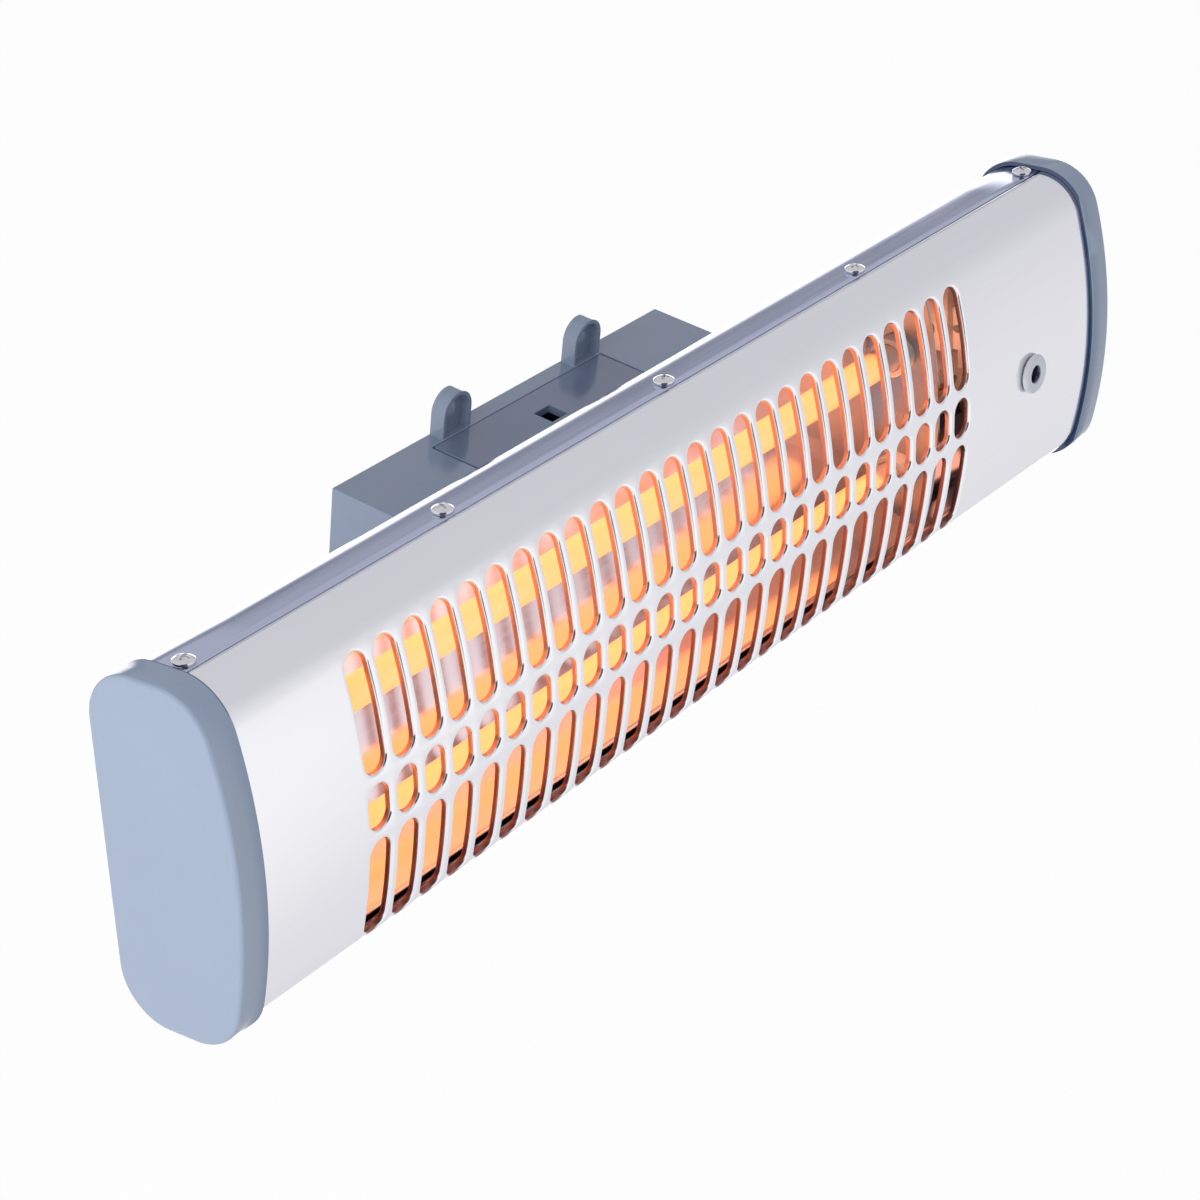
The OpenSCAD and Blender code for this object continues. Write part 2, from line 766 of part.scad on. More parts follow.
// Quartz tube with its ends in the ceramic holders
module quartz_tube(z) {
    color([1, 0.86, 0.62, 0.5]) in_casing() translate([0, tube_y, z])
        ring_x(left_sheet_x - collar_t, right_sheet_x + carrier_t + collar_t, tube_r, tube_r - tube_wall);
}

module upper_quartz_tube() {
    quartz_tube(tube_zs[0]);
}

module lower_quartz_tube() {
    quartz_tube(tube_zs[1]);
}

// Wound heating wire with straight tails to both terminals
module heating_coil(z) {
    color([1, 0.55, 0.15]) in_casing() translate([0, tube_y, z]) {
        bar_x(glow_x0, glow_x1, coil_r);
        bar_x(left_sheet_x - holder_out, right_sheet_x + carrier_t + holder_out, tail_r);
    }
}

module upper_heating_coil() {
    heating_coil(tube_zs[0]);
}

module lower_heating_coil() {
    heating_coil(tube_zs[1]);
}

// Ceramic holder that points along +X from the inner face of its sheet
module ceramic_holder() {
    difference() {
        union() {
            bar_x(-neck_l, carrier_t, holder_r);
            bar_x(carrier_t, carrier_t + holder_out, collar_r - collar_t / 2);
            bar_x(carrier_t, carrier_t + collar_t, collar_r);
        }
        bar_x(-neck_l - over, carrier_t + collar_t, tube_r + holder_gap);
        bar_x(0, carrier_t + holder_out + over, stud_r + seat);
    }
}

module left_ceramic_holders() {
    color([0.93, 0.9, 0.84]) in_casing()
        for (z = tube_zs) translate([left_sheet_x + carrier_t, tube_y, z]) mirror([1, 0, 0]) ceramic_holder();
}

module right_ceramic_holders() {
    color([0.93, 0.9, 0.84]) in_casing()
        for (z = tube_zs) translate([right_sheet_x, tube_y, z]) ceramic_holder();
}

// Terminal stud with its nut, pointing along +X from the collar's inner end
module terminal_stud() {
    nut_x0 = holder_back_l + strap_t + seat;
    difference() {
        union() {
            bar_x(seat, nut_x0 + stud_l, stud_r);
            translate([nut_x0, 0, 0]) rotate([0, 90, 0]) cylinder(h = 2 * strap_t, r = 2 * stud_r, $fn = 6);
        }
        bar_x(0, holder_back_l, tail_r + seat);
    }
}

// Studs at the four ends of the tubes
module tube_terminals() {
    color([0.78, 0.7, 0.45]) in_casing() for (z = tube_zs) {
        translate([left_sheet_x - collar_t, tube_y, z]) mirror([1, 0, 0]) terminal_stud();
        translate([right_sheet_x + carrier_t + collar_t, tube_y, z]) terminal_stud();
    }
}

// Metal strap that joins the two left terminals
module link_strap() {
    x = left_sheet_x - holder_out - strap_t;
    color([0.8, 0.6, 0.35]) in_casing() difference() {
        union() {
            translate([x, tube_y - strap_w / 2, tube_zs[1] - strap_w / 2])
                cube([strap_t, strap_w, tube_pitch + strap_w]);
            translate([x, tube_y, return_z - strap_w / 2]) cube([strap_t, return_y - tube_y + strap_w / 2, strap_w]);
        }
        for (z = tube_zs) translate([0, tube_y, z]) bar_x(x - over, x + strap_t + over, stud_r + seat);
    }
}

// Thermal cut-out on the right tube sheet, with its two tabs
module thermal_cutout() {
    x0 = right_sheet_x + carrier_t + seat;
    color([0.2, 0.2, 0.22]) in_casing() translate([0, cutout_y, -tube_drop]) {
        bar_x(x0, x0 + cutout_t, cutout_r);
        for (side = [-1, 1])
            translate([x0 + cutout_t, -strap_t / 2, side * cutout_r / 2 - stud_r]) cube([stud_l, strap_t, 2 * stud_r]);
    }
}

// Clear bush that guides the pull cord through the front
module cord_guide() {
    color([0.85, 0.87, 0.92, 0.6]) in_casing() translate([guide_x, guide_y, -guide_drop])
        rotate([90, 0, 0]) rotate_extrude() difference() {
            union() {
                translate([guide_bore_r, 0]) square([guide_flange_r - guide_bore_r - guide_flange_t / 2, guide_flange_t]);
                square([guide_flange_r, guide_flange_t / 2]);
                translate([guide_flange_r - guide_flange_t / 2, guide_flange_t / 2]) circle(guide_flange_t / 2);
                translate([0, -guide_barrel_l]) square([guide_barrel_r, guide_barrel_l]);
            }
            translate([-body_d, -body_d]) square([body_d + guide_bore_r, 2 * body_d]);
        }
}

// Ring nut behind the front sheet
module cord_guide_nut() {
    color([0.8, 0.82, 0.86]) in_casing() translate([guide_x, guide_nut_y, -guide_drop])
        difference() {
            bar_y(0, guide_nut_t, guide_flange_r);
            bar_y(-over, guide_nut_t + over, guide_barrel_r + seat);
        }
}

// Housing of the pull switch on the rear shell, with a fork for the lever
module switch_housing() {
    fork_y = lever_y - lever_t / 2;
    color([0.93, 0.93, 0.9]) in_casing() difference() {
        union() {
            translate([guide_x - switch_w / 2, switch_y0, switch_z0]) cube([switch_w, switch_d, switch_h]);
            for (side = [-1, 1])
                translate([guide_x + side * (fork_w / 2 + lever_t / 2) - lever_t / 2, fork_y, switch_z0])
                    cube([lever_t, switch_y0 - fork_y + over, 2 * lever_w]);
        }
        translate([guide_x, lever_y + lever_t / 2, lever_z]) {
            bar_x(-switch_w, switch_w, lever_pin_r + seat / 2);
            bar_x(-fork_w / 2, fork_w / 2, lever_t + side_play);
        }
    }
}

// Pin of the switch lever
module lever_pin() {
    reach = fork_w / 2 + lever_t;
    color([0.75, 0.76, 0.78]) in_casing() translate([guide_x, lever_y + lever_t / 2, lever_z])
        bar_x(-reach, reach, lever_pin_r);
}

// Lever that the cord pulls towards the front
module switch_lever() {
    color([0.9, 0.9, 0.88]) in_casing() translate([guide_x, lever_y + lever_t / 2, lever_z]) difference() {
        union() {
            bar_x(-lever_w / 2, lever_w / 2, lever_t);
            translate([-lever_w / 2, -lever_t / 2, -lever_l - 2 * cord_hole_r])
                cube([lever_w, lever_t, lever_l + 2 * cord_hole_r]);
        }
        bar_x(-lever_w, lever_w, lever_pin_r + seat);
        translate([0, 0, -lever_l]) bar_y(-lever_w, lever_w, cord_hole_r);
    }
}

// Places of the terminal screws
function way_x(i) = block_x + (i - (block_ways - 1) / 2) * block_pitch;

// Terminal block on the rear shell
module terminal_block() {
    color([0.93, 0.92, 0.86]) in_casing() difference() {
        translate([block_x - block_l / 2, block_y1 - block_d, block_z1 - block_h]) cube([block_l, block_d, block_h]);
        for (i = [0 : block_ways - 1]) translate([way_x(i), block_y1 - block_d, block_z1 - block_h / 2]) {
            bar_y(-over, block_d / 2, small_head_r);
            translate([0, block_d * 2 / 3, 0]) cylinder(h = 2 * block_h, r = wire_r + seat, center = true);
        }
    }
}

// Clamping screws of the terminal block
module terminal_screws() {
    color([0.8, 0.74, 0.5]) in_casing()
        for (i = [0 : block_ways - 1])
            translate([way_x(i), block_y1 - block_d, block_z1 - block_h / 2]) difference() {
                bar_y(recess_d, block_d / 2, small_head_r - 2 * seat);
                translate([-small_head_r, recess_d - over, -recess_w / 2])
                    cube([2 * small_head_r, recess_d + over, recess_w]);
            }
}

// Gland for the supply cable in the rear shell
module cable_gland() {
    color([0.2, 0.22, 0.25]) in_casing() translate([gland_x, back_y, gland_z]) difference() {
        union() {
            bar_y(-sheet_t - gland_in_l, gland_out_l, gland_barrel_r);
            bar_y(0, gland_out_l / 2, gland_collar_r);
        }
        bar_y(-sheet_t - gland_in_l - over, gland_out_l + over, gland_bore_r);
    }
}

// Nut of the gland inside the casing
module gland_nut() {
    color([0.2, 0.22, 0.25]) in_casing() translate([gland_x, inner_back - seat, gland_z]) difference() {
        rotate([90, 0, 0]) cylinder(h = gland_nut_t, r = gland_collar_r, $fn = 6);
        bar_y(-gland_nut_t - over, over, gland_barrel_r + seat);
    }
}

// Earth screw through the rear shell, with its nut inside
module earth_screw() {
    color([0.8, 0.74, 0.5]) in_casing() translate([earth_x, back_y, earth_z]) {
        rotate([-90, 0, 0]) pan_screw(small_r, small_l, small_head_r, small_head_h);
        translate([0, -sheet_t - seat, 0]) rotate([90, 0, 0]) cylinder(h = small_head_h, r = small_head_r, $fn = 6);
    }
}

// Point on a smooth curve through a list of points, i counting the stretches
function knot(pts, i) = pts[max(0, min(len(pts) - 1, i))];
function on_curve(pts, i, t) =
    let (a = knot(pts, i - 1), b = knot(pts, i), c = knot(pts, i + 1), d = knot(pts, i + 2))
    ((2 * b) + (c - a) * t + (2 * a - 5 * b + 4 * c - d) * t * t + (3 * b - a - 3 * c + d) * t * t * t) / 2;
function smooth(pts, n) = concat(
    [for (i = [0 : len(pts) - 2]) for (k = [0 : n - 1]) on_curve(pts, i, k / n)],
    [pts[len(pts) - 1]]
);
function unit(v) = v / norm(v);

// Round wire swept along a list of points
module wire(pts, r) {
    sides = 8;
    steps = 4;
    path = smooth(pts, steps);
    n = len(path);
    level = unit([1, 2, 3]);
    function along(i) =
        i == 0 ? unit(pts[1] - pts[0])
        : i == n - 1 ? unit(pts[len(pts) - 1] - pts[len(pts) - 2])
        : unit(path[i + 1] - path[i - 1]);
    function ring(i) =
        let (u = unit(cross(along(i), level)), v = cross(along(i), u))
        [for (k = [0 : sides - 1]) path[i] + r * (u * cos(360 * k / sides) + v * sin(360 * k / sides))];
    points = concat([for (i = [0 : n - 1]) each ring(i)], [path[0], path[n - 1]]);
    faces = concat(
        [for (i = [0 : n - 2]) for (k = [0 : sides - 1])
            let (a = i * sides + k, b = i * sides + (k + 1) % sides) each [[a, b, a + sides], [b, b + sides, a + sides]]],
        [for (k = [0 : sides - 1]) [n * sides, (k + 1) % sides, k]],
        [for (k = [0 : sides - 1]) [n * sides + 1, (n - 1) * sides + k, (n - 1) * sides + (k + 1) % sides]]
    );
    polyhedron(points, faces);
}

// Wires from the terminal block up to the switch
module supply_wires() {
    color([0.45, 0.25, 0.15]) in_casing() for (i = [0, block_ways - 1])
        wire([
            [way_x(i), wire_y, block_z1 - 2 * wire_r],
            [way_x(i), wire_y, block_z1 + wire_r],
            [way_x(i), wire_y - wire_r, (block_z1 + switch_z0) / 2],
            [way_x(i), wire_y, switch_z0 - wire_r],
            [way_x(i), wire_y, switch_z0 - 2 * seat]
        ], wire_r);
}

// Wires from the side of the switch to the right terminals
module element_wires() {
    side_x = guide_x - switch_w / 2 - 2 * seat;
    span = side_x - stud_end;
    depth = wire_y - tube_y;
    color([0.85, 0.82, 0.75]) in_casing() for (i = [0, 1]) {
        z = switch_z0 + switch_h * (2 - i) / 3;
        fall = z - tube_zs[i];
        wire([
            [side_x, wire_y, z],
            [side_x - span / 6, wire_y, z],
            [side_x - span / 3, wire_y - depth / 6, z - fall / 6],
            [side_x - span / 2, wire_y - depth / 2, z - fall / 2],
            [side_x - span * 2 / 3, wire_y - depth * 5 / 6, z - fall * 5 / 6],
            [stud_end + span / 6, tube_y, tube_zs[i]],
            [stud_end + 2 * seat, tube_y, tube_zs[i]]
        ], wire_r);
    }
}

// Wire behind the reflector from the link strap to the terminal block
module return_wire() {
    color([0.25, 0.35, 0.6]) in_casing() translate([0, return_y, return_z])
        bar_x(left_sheet_x - holder_out, block_x - block_l / 2, wire_r);
}

// Wire from the terminal block to the earth screw
module earth_wire() {
    z = block_z1 - block_h;
    tip_y = back_y - small_l - 2 * seat;
    bend = 2 * wire_r;
    low_z = min(z - 2 * bend, earth_z);
    color([0.45, 0.6, 0.2]) in_casing() wire([
        [way_x(0), wire_y, z + 2 * wire_r],
        [way_x(0), wire_y, z - wire_r],
        [way_x(0) - bend / 2, wire_y - wire_r, (z + low_z) / 2 - wire_r],
        [(way_x(0) + earth_x) / 2, tip_y - 2 * bend, low_z],
        [earth_x, tip_y - bend, earth_z],
        [earth_x, tip_y, earth_z]
    ], wire_r);
}

wall_bracket();
pivot_screws();
spring_washers();
friction_washers();
lock_nuts();
tilt_arm();
arm_screws();
rear_shell();
front_shell();
left_end_cap();
right_end_cap();
top_screws();
bottom_screws();
reflector();
left_tube_sheet();
right_tube_sheet();
foot_screws();
upper_quartz_tube();
lower_quartz_tube();
upper_heating_coil();
lower_heating_coil();
left_ceramic_holders();
right_ceramic_holders();
tube_terminals();
link_strap();
thermal_cutout();
cord_guide();
cord_guide_nut();
switch_housing();
lever_pin();
switch_lever();
terminal_block();
terminal_screws();
cable_gland();
gland_nut();
earth_screw();
supply_wires();
element_wires();
return_wire();
earth_wire();
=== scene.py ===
import math

import bmesh
import bpy
import numpy as np
from mathutils import Matrix


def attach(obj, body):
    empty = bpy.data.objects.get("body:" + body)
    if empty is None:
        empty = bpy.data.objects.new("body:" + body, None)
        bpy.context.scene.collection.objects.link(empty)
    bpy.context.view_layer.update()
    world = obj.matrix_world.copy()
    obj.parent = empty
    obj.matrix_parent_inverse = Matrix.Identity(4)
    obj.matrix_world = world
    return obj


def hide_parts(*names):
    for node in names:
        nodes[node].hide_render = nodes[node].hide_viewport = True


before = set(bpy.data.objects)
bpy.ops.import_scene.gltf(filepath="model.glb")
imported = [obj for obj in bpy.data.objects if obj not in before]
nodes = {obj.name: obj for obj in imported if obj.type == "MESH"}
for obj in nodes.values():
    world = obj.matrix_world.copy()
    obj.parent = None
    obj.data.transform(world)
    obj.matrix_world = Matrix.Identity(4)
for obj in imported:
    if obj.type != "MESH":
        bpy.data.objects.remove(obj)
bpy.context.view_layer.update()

# Rear shell. One tray of blue-grey coated sheet steel, 0.8 mm thick, that carries everything in the heater.
# Its rounded corners run into level strips at top and bottom, which stop just short of the front shell.
MM = 0.001
LEAN = math.radians(9.2)
CASING_MIDDLE = np.array([-4.0, -73.1, -32.4])
HALF_LENGTH = 236.5
HALF_HEIGHT = 54.5
HALF_DEPTH = 23.4
BULGE_R = 170.0
CORNER_R = 16.5
HEEL_R = 15.5
SHEET = 0.8
SHEET_EDGE = 0.2
CAP_FACE = 2.6
CAP_CLEAR = 0.05
SHELL_END = HALF_LENGTH - CAP_FACE - CAP_CLEAR
SEAM_Y = -1.9
SEAM_GAP = 0.6
WELD = MM / 500
CUT_EDGE_TURN = 60

bulge_y = BULGE_R - HALF_DEPTH
corner_z = HALF_HEIGHT - CORNER_R
corner_y = bulge_y - math.sqrt((BULGE_R - CORNER_R) ** 2 - corner_z**2)
corner_turn = math.asin(corner_z / (BULGE_R - CORNER_R))
heel_y = HALF_DEPTH - HEEL_R
heel_z = HALF_HEIGHT - HEEL_R
bulge_end = BULGE_R * corner_turn
corner_end = bulge_end + CORNER_R * (math.pi / 2 - corner_turn)
strip_end = corner_end + heel_y - corner_y
heel_end = strip_end + HEEL_R * math.pi / 2
back_end = heel_end + heel_z


def casing_skin(x, run, depth):
    """Points on the casing's outline. Run is the length gone along it from the crest of the front, upwards
    if positive: a wide arc, a corner arc, a level strip, a heel arc and the upright back. Depth is measured
    inwards from it."""
    x, run, depth = np.broadcast_arrays(x, run, depth)
    gone = np.abs(run)
    stretches = [gone <= bulge_end, gone <= corner_end, gone <= strip_end, gone <= heel_end]
    turn = np.select(
        stretches,
        [
            gone / BULGE_R,
            corner_turn + (gone - bulge_end) / CORNER_R,
            np.pi / 2,
            np.pi / 2 + (gone - strip_end) / HEEL_R,
        ],
        np.pi,
    )
    radius = np.select(stretches, [BULGE_R, CORNER_R, 0, HEEL_R], 0) - depth
    middle_y = np.select(stretches, [bulge_y, corner_y, corner_y + gone - corner_end, heel_y], HALF_DEPTH)
    middle_z = np.select(stretches, [0, corner_z, HALF_HEIGHT, heel_z], back_end - gone)
    side = np.where(run < 0, -1, 1)
    return np.stack([x, middle_y - radius * np.cos(turn), side * (middle_z + radius * np.sin(turn))], -1)


def casing_to_row(points):
    """Millimetres in the leaning casing to metres in the part's frame: a turn about X, then its place."""
    x, y, z = np.moveaxis(points, -1, 0)
    c, s = math.cos(LEAN), math.sin(LEAN)
    return (np.stack([x, y * c + z * s, z * c - y * s], -1) + CASING_MIDDLE) * MM


def grid_quads(rows, columns, closed=False):
    """Corner numbers of the quads between the points of a grid stored row by row. Closed joins each row's
    last point to its first."""
    steps = columns if closed else columns - 1
    r, c = np.meshgrid(np.arange(rows - 1), np.arange(steps), indexing="ij")
    c2 = (c + 1) % columns
    return np.stack([r * columns + c, r * columns + c2, (r + 1) * columns + c2, (r + 1) * columns + c], -1)


def new_piece(name, parts, body, replaced=(), flip=False):
    """Smooth mesh of several (points in metres, quads) parts, equal points merged, riding on its body."""
    grids = [points.reshape(-1, 3) for points, _ in parts]
    firsts = np.cumsum([0] + [len(grid) for grid in grids])
    points = np.concatenate(grids)
    quads = np.concatenate([quads.reshape(-1, 4) + first for (_, quads), first in zip(parts, firsts)])
    if flip:
        quads = quads[:, ::-1]
    mesh = bpy.data.meshes.new(name)
    mesh.from_pydata(points.tolist(), [], quads.tolist())
    weld = bmesh.new()
    weld.from_mesh(mesh)
    bmesh.ops.remove_doubles(weld, verts=weld.verts, dist=WELD)
    weld.to_mesh(mesh)
    weld.free()
    mesh.polygons.foreach_set("use_smooth", np.ones(len(mesh.polygons), bool))
    piece = bpy.data.objects.new(name, mesh)
    bpy.context.scene.collection.objects.link(piece)
    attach(piece, body)
    if replaced:
        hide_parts(*replaced)
    return piece


def round_edges(piece, width, from_angle):
    """Rounds the edges that turn by more than the angle."""
    edges = piece.modifiers.new("edges", "BEVEL")
    edges.width = width * MM
    edges.segments = 2
    edges.limit_method = "ANGLE"
    edges.angle_limit = math.radians(from_angle)
    edges.harden_normals = from_angle < CUT_EDGE_TURN


def thicken(piece, thickness, edge):
    """Gives a sheet its thickness behind the faces that were drawn, and rounds its cut edges."""
    wall = piece.modifiers.new("wall", "SOLIDIFY")
    wall.thickness = thickness * MM
    wall.offset = -1
    round_edges(piece, edge, CUT_EDGE_TURN)


DISPLAY_POWER = 2.2
WHITE = (1, 1, 1, 1)


def paint(red, green, blue):
    """Linear colour of a colour given as it shows, from 0 to 255: the share raised to the display's power."""
    return (*((np.array([red, green, blue]) / 255) ** DISPLAY_POWER), 1)


def put(tree, kind, inputs=(), **settings):
    """Adds a node. Inputs maps its sockets' names or numbers to values, or to the sockets that feed them."""
    made = tree.nodes.new(kind)
    for key, value in settings.items():
        setattr(made, key, value)
    for key, value in dict(inputs).items():
        if isinstance(value, bpy.types.NodeSocket):
            tree.links.new(value, made.inputs[key])
        else:
            made.inputs[key].default_value = value
    return made


def sums(tree, operation, *values):
    """Math node, as the socket that it puts out."""
    return put(tree, "ShaderNodeMath", enumerate(values), operation=operation).outputs[0]


def new_group(name, inputs, outputs):
    """Node group with its sockets: inputs maps a title to its kind and first value, outputs to its kind."""
    group = bpy.data.node_groups.new(name, "ShaderNodeTree")
    for title, (kind, start) in inputs.items():
        socket = group.interface.new_socket(title, in_out="INPUT", socket_type="NodeSocket" + kind)
        socket.default_value = start
    for title, kind in outputs.items():
        group.interface.new_socket(title, in_out="OUTPUT", socket_type="NodeSocket" + kind)
    return group


def grain_group(name, stretch, broad):
    """Group for a worked surface. Fine noise stretched along X and broad noise, each swinging about zero,
    shade the colour by Spread and the roughness by Rub. Both noises are also given out, as heights."""
    inputs = {title: ("Float", 0) for title in ("Spread", "Roughness", "Rub")}
    group = new_group(
        name, {"Colour": ("Color", WHITE), **inputs, "Grain": ("Float", 1)},
        {"Colour": "Color", "Roughness": "Float", "Height": "Float", "Ripple": "Float"},
    )
    given = put(group, "NodeGroupInput").outputs
    place = put(group, "ShaderNodeTexCoord").outputs["Object"]
    stretched = put(group, "ShaderNodeMapping", {"Vector": place, "Scale": stretch}).outputs[0]
    fine_noise = {"Vector": stretched, "Scale": given["Grain"], "Detail": 2.0}
    broad_noise = {"Vector": place, "Scale": broad, "Detail": 1.0}
    fine, slow = (put(group, "ShaderNodeTexNoise", noise).outputs[0] for noise in (fine_noise, broad_noise))
    swing = sums(group, "ADD", *(sums(group, "SUBTRACT", noise, 0.5) for noise in (fine, slow)))
    shade = sums(group, "MULTIPLY_ADD", swing, given["Spread"], 1.0)
    tinted = put(group, "ShaderNodeVectorMath", {0: given["Colour"], 1: shade}, operation="MULTIPLY")
    rubbed = sums(group, "MULTIPLY_ADD", swing, given["Rub"], given["Roughness"])
    shown = {"Colour": tinted.outputs[0], "Roughness": rubbed, "Height": fine, "Ripple": slow}
    put(group, "NodeGroupOutput", shown)
    return group


def finish(name, group, colour, spread, roughness, rub, grain, relief, ripple=0.0, **plain):
    """Material of one finish. The group's colour and roughness drive the shader, its fine grain is raised by
    relief and its slow swells by ripple, both in millimetres. Plain gives shader sockets their constants."""
    material = bpy.data.materials.new(name)
    material.use_nodes = True
    tree = material.node_tree
    tree.nodes.clear()
    worked = put(tree, "ShaderNodeGroup", {
        "Colour": colour, "Spread": spread, "Roughness": roughness, "Rub": rub, "Grain": grain,
    }, node_tree=group).outputs
    raised = put(tree, "ShaderNodeBump", {"Height": worked["Height"], "Distance": relief * MM})
    if ripple:
        swell = put(tree, "ShaderNodeBump", {"Height": worked["Ripple"], "Distance": ripple * MM})
        tree.links.new(swell.outputs[0], raised.inputs["Normal"])
    shader = put(tree, "ShaderNodeBsdfPrincipled", {
        "Base Color": worked["Colour"], "Roughness": worked["Roughness"], "Normal": raised.outputs[0],
    })
    for key, value in plain.items():
        shader.inputs[key.replace("_", " ")].default_value = value
    put(tree, "ShaderNodeOutputMaterial", {"Surface": shader.outputs[0]})
    return material


def cover(material, *pieces):
    """Gives pieces their material: a CAD node by its object's slots, a new piece by its mesh."""
    for piece in pieces:
        if not piece.material_slots:
            piece.data.materials.append(None)
        for slot in piece.material_slots:
            slot.material = material


drawn = grain_group("drawn sheet", stretch=(0.02, 1, 1), broad=16)
moulded = grain_group("moulded", stretch=(1, 1, 1), broad=40)
coated_steel = finish(
    "coated_steel", drawn, paint(196, 202, 226), spread=0.06, roughness=0.16, rub=0.1, grain=900,
    relief=0.003, ripple=0.05, Metallic=1.0,
)

rear_seam = corner_end + SEAM_Y + SEAM_GAP - corner_y
over_heel = np.concatenate([
    np.linspace(rear_seam, strip_end, 4),
    np.linspace(strip_end, heel_end, 19)[1:],
    np.linspace(heel_end, back_end, 4)[1:],
])
rear_run = np.concatenate([over_heel, -over_heel[-2::-1]])
rear_x = np.linspace(-SHELL_END, SHELL_END, 13)
rear_sheet = casing_to_row(casing_skin(rear_x[None], rear_run[:, None], 0.0))
rear_shell = new_piece(
    "rear_shell_tray", [(rear_sheet, grid_quads(*rear_sheet.shape[:2]))],
    "heater", ["rear_shell"],
)
thicken(rear_shell, SHEET, SHEET_EDGE)
cover(coated_steel, rear_shell)

# Wall bracket. A moulding of glossy blue-grey plastic: a plate with two screw ears between two hollow cheeks.
# It is screwed to the wall through the ears, and its cheeks hold the heater's arm at the tilt axis.
FLAT_TURN = 1
SHADED_TURN = 30
MOULDED_TURN = 35


def eased(name, copied, body, width):
    """Copy of CAD nodes, with their triangles merged to whole faces and their sharp edges rounded by a
    width in millimetres."""
    mesh = bpy.data.meshes.new(name)
    join = bmesh.new()
    for node in copied:
        join.from_mesh(nodes[node].data)
    bmesh.ops.remove_doubles(join, verts=join.verts, dist=WELD)
    flat = math.radians(FLAT_TURN)
    bmesh.ops.dissolve_limit(join, angle_limit=flat, verts=join.verts, edges=join.edges)
    join.to_mesh(mesh)
    join.free()
    mesh.polygons.foreach_set("use_smooth", np.ones(len(mesh.polygons), bool))
    mesh.set_sharp_from_angle(angle=math.radians(SHADED_TURN))
    piece = bpy.data.objects.new(name, mesh)
    bpy.context.scene.collection.objects.link(piece)
    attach(piece, body)
    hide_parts(*copied)
    round_edges(piece, width, MOULDED_TURN)
    return piece


bracket_plastic = finish(
    "bracket_plastic", moulded, paint(150, 162, 182), spread=0.08, roughness=0.18, rub=0.1, grain=1100,
    relief=0.004, Coat_Weight=0.5, Coat_Roughness=0.05,
)
bracket = eased("wall_bracket_moulding", ["wall_bracket"], "bracket", width=0.6)
cover(bracket_plastic, bracket)

# Tilting arm. A hollow box moulded in the same plastic, with a rounded back that turns between the cheeks.
# Four screws from inside the rear shell hold it to the flat back of the casing.
# Painted shade: the same plastic is given a darker colour on the arm than on the bracket, for the arm lying
# between the cheeks.
arm_plastic = finish(
    "arm_plastic", moulded, paint(128, 138, 160), spread=0.08, roughness=0.18, rub=0.1, grain=1100,
    relief=0.004, Coat_Weight=0.5, Coat_Roughness=0.05,
)
cover(arm_plastic, eased("tilt_arm_moulding", ["tilt_arm"], "heater", width=0.5))

# Tilt pivots. On each side a plated screw passes a spring washer, the cheek, a fibre washer and the arm.
# A lock nut inside the arm clamps the stack, so that friction holds the heater at any lean.
nickel = finish(
    "nickel", moulded, paint(232, 231, 234), spread=0.08, roughness=0.1, rub=0.1, grain=1500,
    relief=0.003, Metallic=1.0,
)
spring_steel = finish(
    "spring_steel", moulded, paint(150, 152, 158), spread=0.12, roughness=0.34, rub=0.2, grain=1500,
    relief=0.004, Metallic=1.0,
)
fibre = finish(
    "fibre", moulded, paint(150, 62, 40), spread=0.3, roughness=0.8, rub=0.1, grain=2200, relief=0.03,
)
cover(nickel, eased("pivot_screw_pair", ["pivot_screws"], "bracket", width=0.3))
cover(nickel, nodes["lock_nuts"], nodes["arm_screws"], nodes["foot_screws"], nodes["lever_pin"])
cover(spring_steel, nodes["spring_washers"])
cover(fibre, nodes["friction_washers"])

# Reflector. A trough of mirror-bright sheet, 0.6 mm thick, that throws the heat out through the grille.
# It is folded with tight bends, has a short lip along each mouth edge, and stands between the tube sheets.
REFLECTOR_SHEET = 0.6
REFLECTOR_EDGE = 0.15
REFLECTOR_FRONT = -9.0
REFLECTOR_LIP = 2.0
REFLECTOR_BACK = 10.4
MOUTH_Z = 42.0
FLAT_Z = 35.0
BEND_R = 1.6
BEND_STEPS = 6
TUBE_DROP = 3.1
LEFT_SHEET_X = -210.0
RIGHT_SHEET_X = 129.0
CARRIER = 1.0


def bent(corners, reach, steps):
    """Polyline with each inner corner turned into a bend: a parabola from reach before to reach after it."""
    corners = np.array(corners, float)
    before, at, after = corners[:-2], corners[1:-1], corners[2:]
    start = at + (before - at) * (reach / np.linalg.norm(before - at, axis=1))[:, None]
    stop = at + (after - at) * (reach / np.linalg.norm(after - at, axis=1))[:, None]
    t = np.linspace(0, 1, steps)[None, :, None]
    bends = (1 - t) ** 2 * start[:, None] + 2 * t * (1 - t) * at[:, None] + t**2 * stop[:, None]
    return np.concatenate([corners[:1], bends.reshape(-1, 2), corners[-1:]])


half_trough = [
    (REFLECTOR_FRONT - REFLECTOR_LIP, MOUTH_Z), (REFLECTOR_FRONT, MOUTH_Z), (REFLECTOR_BACK, FLAT_Z)
]
mirrored_half = [(y, -z) for y, z in half_trough[::-1]]
trough = bent(half_trough + mirrored_half, BEND_R / 2, BEND_STEPS) - [0, TUBE_DROP]
trough_x = np.linspace(LEFT_SHEET_X + CARRIER, RIGHT_SHEET_X, 3)
trough_points = np.stack(np.broadcast_arrays(trough_x[None], trough[:, :1], trough[:, 1:]), -1)
reflector = new_piece(
    "reflector_trough", [(casing_to_row(trough_points), grid_quads(*trough_points.shape[:2]))],
    "heater", ["reflector"], flip=True,
)
thicken(reflector, REFLECTOR_SHEET, REFLECTOR_EDGE)
mirror_sheet = finish(
    "mirror_sheet", drawn, paint(250, 238, 247), spread=0.12, roughness=0.16, rub=0.08, grain=700,
    relief=0.003, ripple=0.06, Metallic=0.8,
)
